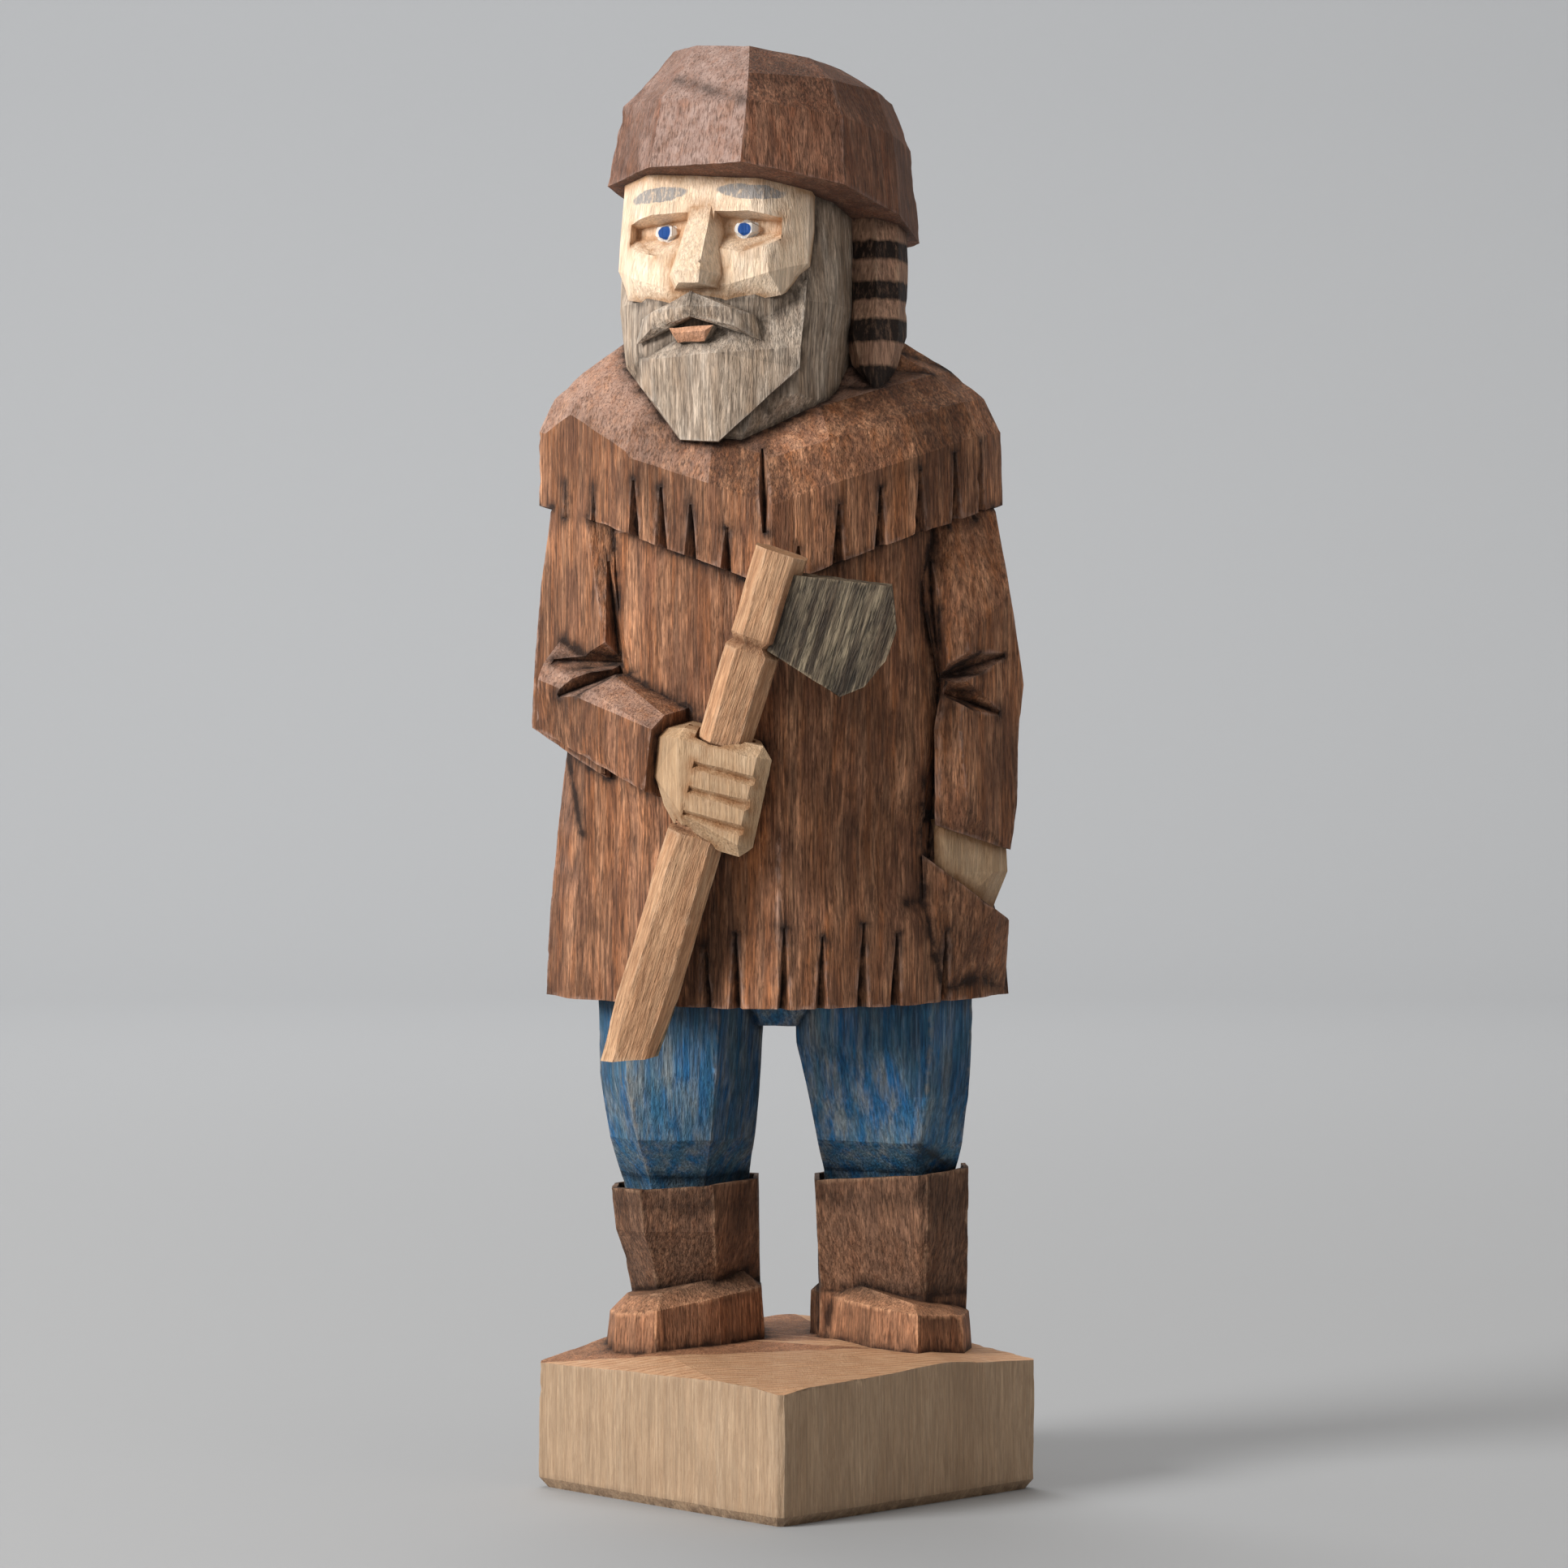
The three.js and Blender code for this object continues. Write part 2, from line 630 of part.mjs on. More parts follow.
/** A sleeve, cut off below a slanting line. */
function buildSleeve(rows, corners, { height, atX, slope }) {
  const reach = 30;
  const depth = 60;
  const ends = [-reach, reach].map((offset) => [atX + offset, height + slope * offset]);
  const below = ends.flatMap(([x, z]) => [
    vec(x, -reach, z), vec(x, -reach, z - depth),
    vec(x, reach, z), vec(x, reach, z - depth),
  ]);
  return buildLeg(rows, corners).subtract(chunk(below));
}

function buildPocketHand() {
  const { left, right, front, slant, back } = POCKET_HAND;
  return chunk(POCKET_HAND_ROWS.flatMap(([height, draw, tuck]) => [
    vec(left, front + 1.5 + draw, height),
    vec(left + 1.4, front + draw, height),
    vec(right - 2.2 - tuck, front + slant * 0.6 + draw, height),
    vec(right - tuck, front + slant + 1.2 + draw, height),
    vec(right - tuck, back, height),
    vec(left, back, height),
  ]));
}

function buildPocket() {
  const { edge, fade, left, right, leftHeight, rightHeight, fadeHeight } = POCKET;
  const edgeHeight = (x) => THREE.MathUtils.mapLinear(x, left, right, leftHeight, rightHeight);
  return chunk([
    ...edge.map(([x, y]) => vec(x, y, edgeHeight(x))),
    ...fade.map(([x, y]) => vec(x, y, fadeHeight)),
  ]);
}

// The fist

/** Turns places in the fist's frame (right, forward, up) into places in space. */
function fistPoint(right, forward, up) {
  const point = vec(right, -forward, up);
  point.applyAxisAngle(vec(0, 1, 0), FIST.lean);
  point.applyAxisAngle(UP, FIST.turn);
  return point.add(vec(...FIST.centre));
}

/** Knuckles and wrist as one convex block, which runs back into the sleeve. */
function buildFist() {
  const { halfWidth: w, halfHeight: h, front, back, chamfer, wristChamfer, backInset } = FIST;
  const knuckles = [-1, 1].flatMap((side) => [-1, 1].flatMap((level) => {
    const rear = w - (side < 0 ? backInset.left : backInset.right);
    const c = side < 0 && level < 0 ? wristChamfer : chamfer;
    return [
      fistPoint(side * (w - c), front, level * (h - c)),
      fistPoint(side * w, front - c, level * (h - c)),
      fistPoint(side * (w - c), front - c, level * h),
      fistPoint(side * rear, -back, level * (h - c)),
      fistPoint(side * (rear - c), -back, level * h),
    ];
  }));
  const cuff = FOREARM.cuff.map((place) => vec(...place));
  const middle = middleOf(cuff);
  const wrist = cuff.map((point) => point.lerp(middle, FOREARM.wristInset));
  return chunk([...knuckles, ...wrist]);
}

function buildFingerGrooves() {
  const { grooves, spacing, first, width, depth, start, end, fall } = FINGERS;
  const outward = fistPoint(0, 1, 0).sub(fistPoint(0, 0, 0));
  return Array.from({ length: grooves }, (_, i) => {
    const up = first - i * spacing;
    const from = fistPoint(start, FIST.front, up);
    const to = fistPoint(end, FIST.front, up - fall);
    return knifeCut(from, to, outward, { width: width * 0.7, depth: depth * 0.7 }, { width, depth });
  });
}

// The head

/** Turns places in the head's frame (across, forward, height) into places in space. */
function headPoint(across, forward, height) {
  const cos = Math.cos(HEAD.turn);
  const sin = Math.sin(HEAD.turn);
  return vec(HEAD.x + cos * across - sin * forward, HEAD.y - sin * across - cos * forward, height);
}

/** Points on both sides of the face, mirrored across its middle. */
function bothSides(places) {
  return places.flatMap(([across, forward, height]) => [
    headPoint(across, forward, height),
    headPoint(-across, forward, height),
  ]);
}

/** Hair and beard: the whole mass of the head under the hat. */
function buildHair() {
  const outline = ([height, half, front, back, sweep]) => {
    const sides = { left: sweep - half, right: sweep + half, front: -front, back: -back, ridge: sweep };
    const flat = softOutline(14, HEAD.roundness, sides, () => height);
    return flat.map((point) => headPoint(point.x, -point.y, height));
  };
  const { deep, ...lines } = BEARD_FRONT;
  const front = Object.values(lines).flat().flatMap(([x, y, z]) => [vec(x, y, z), vec(x, deep, z)]);
  const mass = loft(HEAD_ROWS.map(outline)).add(chunk(front));
  return BEARD_CUTS.reduce((hair, places) => {
    const [a, b, c] = places.map((place) => vec(...place));
    return hair.subtract(slabBeyond(a, b, c));
  }, mass);
}

/** The skin stands a little proud of the hair and beard around it. */
function buildFaceMass() {
  const { browHeight, browFront, cheekHeight, noseBase, foreheadTop } = FACE;
  return chunk(bothSides([
    [8.5, 13.4, foreheadTop],
    [14.2, 8.0, foreheadTop],
    [7.6, browFront, browHeight],
    [14.6, 8.6, browHeight - 2],
    [14.4, 10.4, cheekHeight + 1],
    [10.4, 15.6, cheekHeight - 0.6],
    [11.6, 13.6, noseBase - 0.6],
    [5.2, 16.9, noseBase + 0.8],
    [4.0, 15.6, noseBase - 2],
    [13.0, 2.0, cheekHeight],
    [13.0, 2.0, foreheadTop],
  ]));
}

/** Under each brow a steep cut meets a slanting one over the cheek. */
function buildSocketCut(side) {
  const { eyeHeight, browHeight, socketDepth } = FACE;
  const place = (across, forward, height) => headPoint(side * across, forward, height);
  return chunk([
    place(1.5, 21, browHeight + 0.6),
    place(12.4, 21, browHeight - 0.4),
    place(2.3, socketDepth + 0.6, eyeHeight + 1.9),
    place(11.2, socketDepth - 1.4, eyeHeight + 1.0),
    place(2.3, socketDepth + 1.2, eyeHeight - 0.6),
    place(11.2, socketDepth - 1.2, eyeHeight - 0.4),
    place(1.8, 21, eyeHeight - 6.4),
    place(12.4, 21, eyeHeight - 5.2),
  ]);
}

function buildEye(side) {
  const { eyeAcross, eyeHeight, socketDepth } = FACE;
  const place = (across, forward, height) => headPoint(side * (eyeAcross + across), forward, height);
  return chunk([
    place(-2.5, socketDepth, eyeHeight + 0.2),
    place(2.5, socketDepth - 0.8, eyeHeight + 0.1),
    place(-1.1, socketDepth + 1.5, eyeHeight + 0.9),
    place(1.1, socketDepth + 1.3, eyeHeight + 0.9),
    place(-1.1, socketDepth + 1.6, eyeHeight - 0.5),
    place(1.1, socketDepth + 1.4, eyeHeight - 0.5),
    place(0, socketDepth + 1.0, eyeHeight - 1.4),
    place(0, socketDepth - 1, eyeHeight + 1.6),
    place(0, socketDepth - 1, eyeHeight - 1.4),
  ]);
}

function buildNose() {
  const { browHeight, noseBase, noseTip } = FACE;
  return chunk(bothSides([
    [1.5, 14.6, browHeight + 0.4],
    [2.2, 11, browHeight],
    [1.3, 16.2, browHeight - 5.4],
    [1.9, noseTip, noseBase + 2.6],
    [1.5, noseTip - 0.6, noseBase + 0.8],
    [3.9, 17.2, noseBase + 2.2],
    [3.4, 16.4, noseBase + 0.2],
    [3.6, 12, noseBase + 1],
  ]));
}

function buildMoustache(side) {
  const { noseBase, mouthHeight } = FACE;
  const place = (across, forward, height) => headPoint(side * across, forward, height);
  return chunk([
    place(-0.2, 18.9, noseBase - 0.2),
    place(-0.2, 20.0, noseBase - 2.4),
    place(-0.2, 19.4, mouthHeight + 0.9),
    place(5.6, 18.7, mouthHeight + 2.0),
    place(6.4, 18.0, mouthHeight - 0.6),
    place(9.4, 15.6, mouthHeight - 2.4),
    place(8.6, 15.8, mouthHeight + 1.2),
    place(0, 14, noseBase - 1),
    place(0, 14, mouthHeight + 1),
    place(8.6, 12, mouthHeight),
  ]);
}

function buildLowerLip() {
  const { mouthHeight } = FACE;
  return chunk(bothSides([
    [2.4, 19.4, mouthHeight - 1.3],
    [3.4, 18.6, mouthHeight - 0.5],
    [2.0, 18.4, mouthHeight - 2.6],
    [3.0, 14, mouthHeight - 0.6],
    [2.0, 14, mouthHeight - 2.6],
  ]));
}

function buildHead() {
  const sides = [-1, 1];
  const uncut = buildHair().add(buildFaceMass());
  const face = sides.reduce((solid, side) => solid.subtract(buildSocketCut(side)), uncut);
  return join([face, ...sides.map(buildEye), buildNose(), ...sides.map(buildMoustache), buildLowerLip()]);
}

// Hat and tail

function hatOutline(share, height, alongX, alongY, shift) {
  const [cx, cy] = HAT_CENTRE;
  return HAT_CORNERS.map(([x, y]) => {
    const px = cx + shift + (x - cx) * share;
    const py = cy + (y - cy) * share;
    return vec(px, py, Math.min(height + alongX * px + alongY * py, FIGURE_TOP));
  });
}

function buildHat() {
  const brim = hatOutline(1, HAT_BRIM.height, HAT_BRIM.alongX, HAT_BRIM.alongY, 0);
  return loft([brim, ...HAT_ROWS.map((row) => hatOutline(...row))]);
}

function buildTail() {
  const sides = 8;
  return loft(TAIL_ROWS.map(([height, x, y, half, deep]) => Array.from({ length: sides }, (_, i) => {
    const angle = -Math.PI / 2 + (i / sides) * 2 * Math.PI;
    return vec(x + half * Math.cos(angle), y + deep * Math.sin(angle), height);
  })));
}

// The axe

const axeDown = AXE.bottom.clone().sub(AXE.top).normalize();
const axeForward = vec(0, -1, 0).addScaledVector(axeDown, axeDown.y).normalize();
const axeRight = axeForward.clone().cross(axeDown).normalize();
const AXE_LENGTH = AXE.bottom.distanceTo(AXE.top);

/** Turns places in the axe's frame (right, forward, down the handle) into places in space. */
function axePoint(right, forward, down) {
  return AXE.top.clone()
    .addScaledVector(axeRight, right)
    .addScaledVector(axeForward, forward)
    .addScaledVector(axeDown, down);
}

function handleSection(down, width, depth, grow) {
  const w = width / 2 + grow;
  const d = depth / 2 + grow;
  const c = AXE.chamfer;
  const corners = [
    [-w + c, d], [-w, d - c], [-w, -d + c], [-w + c, -d],
    [w - c, -d], [w, -d + c], [w, d - c], [w - c, d],
  ];
  return corners.map(([right, forward]) => axePoint(right, forward, down));
}

function buildHandle(grow = 0) {
  const { upperWidth, gripWidth, lowerWidth, depth, gripDepth, grooveAt, gripTop, gripBottom } = AXE;
  const rows = [
    [-grow, upperWidth, depth],
    [grooveAt - 1.1, upperWidth - 0.2, depth],
    [grooveAt, upperWidth - 1.5, depth - 1.2],
    [grooveAt + 1.1, upperWidth + 0.3, depth],
    [gripTop - 0.6, upperWidth, depth],
    [gripTop, gripWidth, gripDepth],
    [gripBottom, gripWidth, gripDepth],
    [gripBottom + 0.6, lowerWidth - 0.4, depth],
    [AXE_LENGTH - 12, lowerWidth, depth],
    [AXE_LENGTH + grow, lowerWidth - 0.9, depth - 0.6],
  ];
  return loft(rows.map(([down, width, deep]) => handleSection(down, width, deep, grow)));
}

/** The foot of the handle is cut off at a slant. */
function buildHandleEndCut() {
  const reach = 12;
  const leftLift = 2.6;
  const rightLift = -6.6;
  return chunk([-reach, reach].flatMap((forward) => [
    axePoint(-reach, forward, AXE_LENGTH + leftLift),
    axePoint(reach, forward, AXE_LENGTH + rightLift),
    axePoint(-reach, forward, AXE_LENGTH + reach * 2),
    axePoint(reach, forward, AXE_LENGTH + reach * 2),
  ]));
}

function buildAxeHead() {
  const { outline, eyeThickness, edgeThickness, centre } = AXE_HEAD;
  const reach = Math.max(...outline.map(([right]) => right));
  const points = outline.flatMap(([right, down]) => {
    const half = THREE.MathUtils.lerp(eyeThickness, edgeThickness, (right / reach) ** 1.5) / 2;
    return [axePoint(right, centre + half, down), axePoint(right, centre - half, down)];
  });
  return chunk(points);
}

function buildAxe() {
  return buildHandle().add(buildAxeHead()).subtract(buildHandleEndCut());
}

// Cuts over the whole figure

function buildFringeCuts(coat, cape) {
  const coatAt = surfaceProbe(coat);
  const capeAt = surfaceProbe(cape);
  const hemOfCape = (x, middle) => {
    const reach = x < CAPE_RIDGE_X
      ? (x - CAPE_RIDGE_X) / (CAPE_ROWS[0][2] - CAPE_RIDGE_X)
      : (x - CAPE_RIDGE_X) / (CAPE_ROWS[0][3] - CAPE_RIDGE_X);
    return THREE.MathUtils.lerp(middle, CAPE_HEM.sideHeight, reach);
  };
  const front = [
    ...CAPE_FRINGE.map(([x, length]) => fringeCut(capeAt, x, hemOfCape(x, CAPE_HEM.frontHeight), length)),
    ...COAT_FRINGE.map(([x, length]) => fringeCut(coatAt, x, COAT_ROWS[0][0], length)),
  ];
  const back = Array.from({ length: BACK_FRINGE.cuts }, (_, i) => {
    const { cuts, left, right, length } = BACK_FRINGE;
    const x = THREE.MathUtils.mapLinear(i, 0, cuts - 1, left, right);
    return [
      fringeCut(capeAt, x, hemOfCape(x, CAPE_HEM.backHeight), length, 1),
      fringeCut(coatAt, x, COAT_ROWS[0][0], length, 1),
    ];
  }).flat();
  return [...front, ...back].filter(Boolean);
}

/** Grooves between sleeve and coat, folds at the elbows, and the slit of the cape's collar. */
function buildBodyCuts(body) {
  const at = surfaceProbe(body);
  const cut = (from, to, startSize, endSize, out, proud) =>
    knifeCut(at(...from).point, at(...to).point, out, startSize, endSize, proud);
  const fold = { width: 2.6, depth: 3.0 };
  const fine = { width: 0.6, depth: 0.5 };
  const groove = { width: 2.4, depth: 2.6 };
  const deepGroove = { width: 3.8, depth: 3.2 };
  const front = vec(0, -1, 0);
  const leftFront = vec(-0.45, -0.9, 0.1);
  const rightFront = vec(0.45, -0.9, 0.1);
  return [
    cut([-25.4, 134], [-23.7, 117.8], { width: 0.5, depth: 0.4 }, deepGroove, front, 3),
    cut([-23.8, 120.0], [-33.4, 119.8], fold, fine, leftFront, 4),
    cut([-24.8, 118.6], [-32.6, 114.6], fold, fine, leftFront, 4),
    cut([20.4, 134], [21.8, 117], { width: 0.5, depth: 0.4 }, groove, front, 2),
    cut([21.8, 118], [20.8, 97], groove, groove, front),
    cut([20.8, 97.6], [20.2, 91.6], groove, { width: 1.0, depth: 1.2 }, front),
    cut([22.4, 117.6], [31.4, 120.6], fold, fine, rightFront, 4),
    cut([22.6, 115.8], [30.6, 112.4], fold, fine, rightFront, 4),
    cut([-3.4, 149.4], [-3.0, 137.2], { width: 0.4, depth: 0.5 }, { width: 0.7, depth: 1.1 }, front, 2.5),
  ];
}

// The two pieces

function buildBlank() {
  const corner = (i, height) => {
    const angle = i * (Math.PI / 2) - Math.PI / 2 - BLOCK_TURN;
    return vec(Math.cos(angle) * BLANK_HALF_DIAGONAL, Math.sin(angle) * BLANK_HALF_DIAGONAL, height);
  };
  return chunk([0, 1, 2, 3].flatMap((i) => [corner(i, -1), corner(i, FIGURE_TOP + 1)]));
}

function buildFigure() {
  const coat = buildCoatBody().add(buildPocket());
  const cape = buildCape();
  const block = join([
    coat,
    cape,
    buildSleeve(LEFT_SLEEVE_ROWS, LEFT_SLEEVE_CORNERS, ELBOW_LINE),
    buildSleeve(RIGHT_SLEEVE_ROWS, RIGHT_SLEEVE_CORNERS, RIGHT_CUFF_LINE),
    buildPocketHand(),
    buildBase(),
    buildLegs(),
    buildHead(),
    buildTail(),
    buildHat(),
  ]).intersect(buildBlank());
  const body = block.add(buildForearm());
  const cuts = [...buildFringeCuts(coat, cape), ...buildBodyCuts(body)];
  const carved = cuts.reduce((solid, cut) => solid.subtract(cut), body);
  const fist = buildFingerGrooves().reduce((solid, groove) => solid.subtract(groove), buildFist());
  return carved.add(fist).subtract(buildHandle(AXE.fistClearance));
}

function makePiece(name, solid, color) {
  const material = new THREE.MeshStandardMaterial({ color, roughness: 0.72, metalness: 0 });
  const mesh = new THREE.Mesh(withoutSlivers(toGeometry(solid)), material);
  mesh.name = name;
  return mesh;
}

const carving = new THREE.Group();
carving.add(makePiece('mountain_man', buildFigure(), '#6b4630'));
carving.add(makePiece('axe', buildAxe(), '#b07c50'));

export default carving;
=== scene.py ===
"""Looks of the mountain man carving: whittled, stained and washed basswood, and his separate axe."""

import math

import bmesh
import bpy
import numpy as np
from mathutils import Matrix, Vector, kdtree, noise


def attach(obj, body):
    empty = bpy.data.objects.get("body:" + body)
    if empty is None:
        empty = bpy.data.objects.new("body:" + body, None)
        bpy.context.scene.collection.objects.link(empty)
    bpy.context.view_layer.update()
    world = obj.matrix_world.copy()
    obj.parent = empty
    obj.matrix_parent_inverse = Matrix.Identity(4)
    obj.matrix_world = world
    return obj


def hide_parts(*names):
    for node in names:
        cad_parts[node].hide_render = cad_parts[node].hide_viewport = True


MM = 0.001
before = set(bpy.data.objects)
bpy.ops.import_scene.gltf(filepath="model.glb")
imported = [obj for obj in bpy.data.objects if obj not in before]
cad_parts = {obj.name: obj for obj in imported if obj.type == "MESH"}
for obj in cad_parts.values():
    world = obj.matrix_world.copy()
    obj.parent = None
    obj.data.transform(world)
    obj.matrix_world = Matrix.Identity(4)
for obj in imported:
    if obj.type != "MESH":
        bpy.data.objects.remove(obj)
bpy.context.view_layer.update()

# Sizes shared with the solids, in millimetres.
BASE_TOP_FACETS = [(23.67, 0.155, 0.114), (22.88, -0.119, 0.021), (20.57, 0.055, 0.0), (25.3, 0.0, 0.2)]
TROUSERS = {"top": 71.9, "half": 27.6, "front": -6.8, "back": 16.4}
COAT_BOTTOM = 70.3
BOOTS_TOP = 52
# Each boot's rim: its height and its rise along X, its sides, and how much of each corner is cut off.
BOOT_RIMS = [
    {"top": 43.1, "tilt": 0.055, "left": -25.5, "right": -4.1, "front": -1.6, "back": 19.6,
     "corners": [(4.2, 6.0), (6.4, 8.6), (3.4, 3.4), (9.6, 7.0)]},
    {"top": 44.2, "tilt": 0.09, "left": 4.3, "right": 26.5, "front": -2.9, "back": 19.6,
     "corners": [(14.6, 7.6), (6.2, 5.6), (10.4, 7.4), (3.4, 3.4)]},
]
CUFF_WALL, CUFF_FLOOR = 1.15, 40.6
HEAD_PLACE = (-7.0, -2.6)
HEAD_TURN = math.radians(20)
HEAD_ROUNDNESS = 2.3
HEAD_ROWS = np.array([
    (147.6, 5.6, 15.0, 5.0, 1.2), (151.6, 11.4, 16.6, -8.0, 1.4), (157.0, 14.5, 17.0, -14.0, 1.3),
    (162.0, 15.9, 17.0, -16.0, 0.0), (170.5, 16.9, 16.6, -17.0, 0.0), (178.0, 16.7, 13.4, -17.0, 0.0),
    (192.0, 15.6, 11.6, -16.0, 0.0),
])
FACE_MASS = [
    (8.5, 13.4, 191), (14.2, 8.0, 191), (7.6, 15.0, 184.2), (14.6, 8.6, 182.2), (14.4, 10.4, 175.6),
    (10.4, 15.6, 174.0), (11.6, 13.6, 171.0), (5.2, 16.9, 172.4), (4.0, 15.6, 169.6),
    (13.0, 2.0, 174.6), (13.0, 2.0, 191),
]
NOSE = {"half": 4.3, "forward": 14.2, "bottom": 171.6}
LOWER_LIP = {"half": 3.5, "forward": 17.9, "bottom": 164.1, "top": 166.5}
HAT_BRIM = (184.5, -0.128, -0.131)
TAIL_ROWS = np.array([
    (158.8, 13.0, -8.6, 1.0, 1.2), (162.2, 12.7, -6.2, 3.2, 3.4), (166.6, 12.8, -4.0, 4.6, 5.2),
    (171.6, 12.9, -1.6, 4.6, 6.4), (178.0, 12.8, 0.0, 4.8, 6.8), (188.0, 12.8, 1.4, 4.4, 6.0),
])
TAIL_ROOM = 1.06
BEARD_BACK = -6
BEARD_FRONT = [
    (x, depth, z)
    for x, y, z in (
        (-9.6, -20.9, 150.2), (-9.6, -21.5, 162.6), (-18.7, -17.5, 150.8), (-19.0, -18.0, 162.2),
        (1.8, -19.9, 160.8), (2.0, -19.6, 163.8), (-22.3, -7.3, 156.0), (-22.5, -7.4, 163.0),
        (-13.5, -17.6, 166.2), (3.0, -16.7, 173.5),
    )
    for depth in (y, BEARD_BACK)
]
MOUSTACHE = {"half": 9.8, "forward": 11.5, "bottom": 164.2, "top": 171.7}
HAIR_BOTTOM, HAIR_ROOM = 147.5, 1.025
CAPE_TOP = 160.5
FIST = {
    "centre": (-8.7, -22.2, 101.0), "lean": 13, "turn": -20, "half": 7.6, "height": 7.9,
    "front": 6.6, "back": 7.0, "chamfer": 1.7, "wrist_chamfer": 4.2, "left_inset": 1.6, "right_inset": 5.0,
}
WRIST_INSET = 0.36
CUFF_END = [
    (-19.9, -22.3, 101), (-18.9, -22.6, 109.7), (-17.1, -20.4, 111.8), (-11.4, -13.6, 113.8),
    (-13.5, -14.6, 98.6),
]
POCKET_HAND = {"left": 21.2, "right": 32.2, "front": -10.8, "slant": 6.5, "back": 2.0}
POCKET_HAND_ROWS = [(98, 0, 0.7), (89.6, 0.7, 0.2), (82, 3.0, 2.9)]
AXE_TOP = Vector((-0.6, -28.9, 134.4))
AXE_BOTTOM = Vector((-22.7, -17.0, 61.8))
AXE_HANDLE_HALF, AXE_CHEEK_START, AXE_HEAD_HEIGHT = 3.78, 2.3, 17.3

FINISHES = ["base", "boots", "trousers", "coat", "skin", "hair", "tail", "hat"]
ZONE_ROOM = 0.06

# Angles between two cuts: where an arris starts, where the mesh is finer, and where it is rubbed.
SHARP_ANGLE, CRISP_ANGLE, WEARING_ANGLE = math.radians(7), math.radians(24), math.radians(34)

# The mesh's sides, in millimetres: near an arris, on plain wood, and how fast they grow between.
FINE_EDGE, PLAIN_EDGE = ((1.2, 2.0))
FINE_REACH, EDGE_GROWTH = 0.5, 0.8
MOST_HALVINGS = 10

# Unevenness of the knife work, in millimetres. The seed makes every run the same.
KNIFE_SEED = 7
SLOW_WANDER = {"size": 12, "reach": 0.2}
SMALL_WANDER = {"size": 4.1, "reach": 0.07, "shift": Vector((7, 3, 1))}
FLUTE = {"width": 3.1, "length": 19, "depth": 0.1}
CHIP = {"size": 2.3, "least": 0.12, "depth": 0.55, "reach": 0.5, "shift": Vector((3, 9, 5))}
STILL_FOOT = 3
RIDGE_REACH, GROOVE_REACH = 0.55, 1.1


# Triangles of the solids

def solid_triangles(name):
    """A node's places in millimetres and its triangles, with corners that lie together joined."""
    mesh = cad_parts[name].data
    mesh.calc_loop_triangles()
    places = np.empty(len(mesh.vertices) * 3, np.float32)
    mesh.vertices.foreach_get("co", places)
    corners = np.empty(len(mesh.loop_triangles) * 3, np.int32)
    mesh.loop_triangles.foreach_get("vertices", corners)
    points, joined = np.unique(places.reshape(-1, 3), axis=0, return_inverse=True)
    triangles = joined.reshape(-1)[corners].reshape(-1, 3)
    a, b, c = triangles.T
    whole = (a != b) & (b != c) & (c != a)
    return points.astype(float) / MM, triangles[whole]


def facing(points, triangles):
    """Each triangle's outward direction."""
    a, b, c = (points[triangles[:, i]] for i in range(3))
    across = np.cross(b - a, c - a)
    return across / np.maximum(np.linalg.norm(across, axis=1, keepdims=True), 1e-12)


def shared_sides(triangles):
    """The two ends of each side, and the two triangles that share it."""
    sides = np.sort(triangles[:, [[0, 1], [1, 2], [2, 0]]].reshape(-1, 2), axis=1)
    owner = np.repeat(np.arange(len(triangles)), 3)
    order = np.lexsort((sides[:, 1], sides[:, 0]))
    sides, owner = sides[order], owner[order]
    first = np.flatnonzero((sides[:-1] == sides[1:]).all(1))
    return sides[first], owner[first], owner[first + 1]


def knife_edges(points, triangles, zones):
    """The sides where two cuts meet, how far each stands out or in, and each triangle's facet."""
    sides, left, right = shared_sides(triangles)
    outward = facing(points, triangles)
    middles = points[triangles].mean(1)
    turn = np.arccos(np.clip((outward[left] * outward[right]).sum(1), -1, 1))
    standing = np.where((outward[left] * (middles[right] - middles[left])).sum(1) < 0, turn, -turn)
    sharp = turn > SHARP_ANGLE
    parted = sharp | (zones[left] != zones[right])
    facets = np.arange(len(triangles))
    together = ~parted
    while True:
        lowest = np.minimum(facets[left[together]], facets[right[together]])
        before = facets.copy()
        np.minimum.at(facets, left[together], lowest)
        np.minimum.at(facets, right[together], lowest)
        if (before == facets).all():
            break
    return sides[sharp], standing[sharp], facets


def places_along(points, sides, step=0.4):
    """Places along the sides, close enough together to measure from."""
    starts, ends = points[sides[:, 0]], points[sides[:, 1]]
    counts = np.maximum(np.ceil(np.linalg.norm(ends - starts, axis=1) / step).astype(int), 1)
    which = np.repeat(np.arange(len(sides)), counts)
    inside = np.arange(len(which)) - np.repeat(np.cumsum(counts) - counts, counts)
    share = ((inside + 0.5) / counts[which])[:, None]
    return starts[which] * (1 - share) + ends[which] * share


def distance_finder(places):
    """A function that gives each point's distance to the nearest place."""
    tree = kdtree.KDTree(len(places))
    for i, place in enumerate(places):
        tree.insert(place, i)
    tree.balance()
    return lambda points: np.array([tree.find(point)[2] for point in points.tolist()])


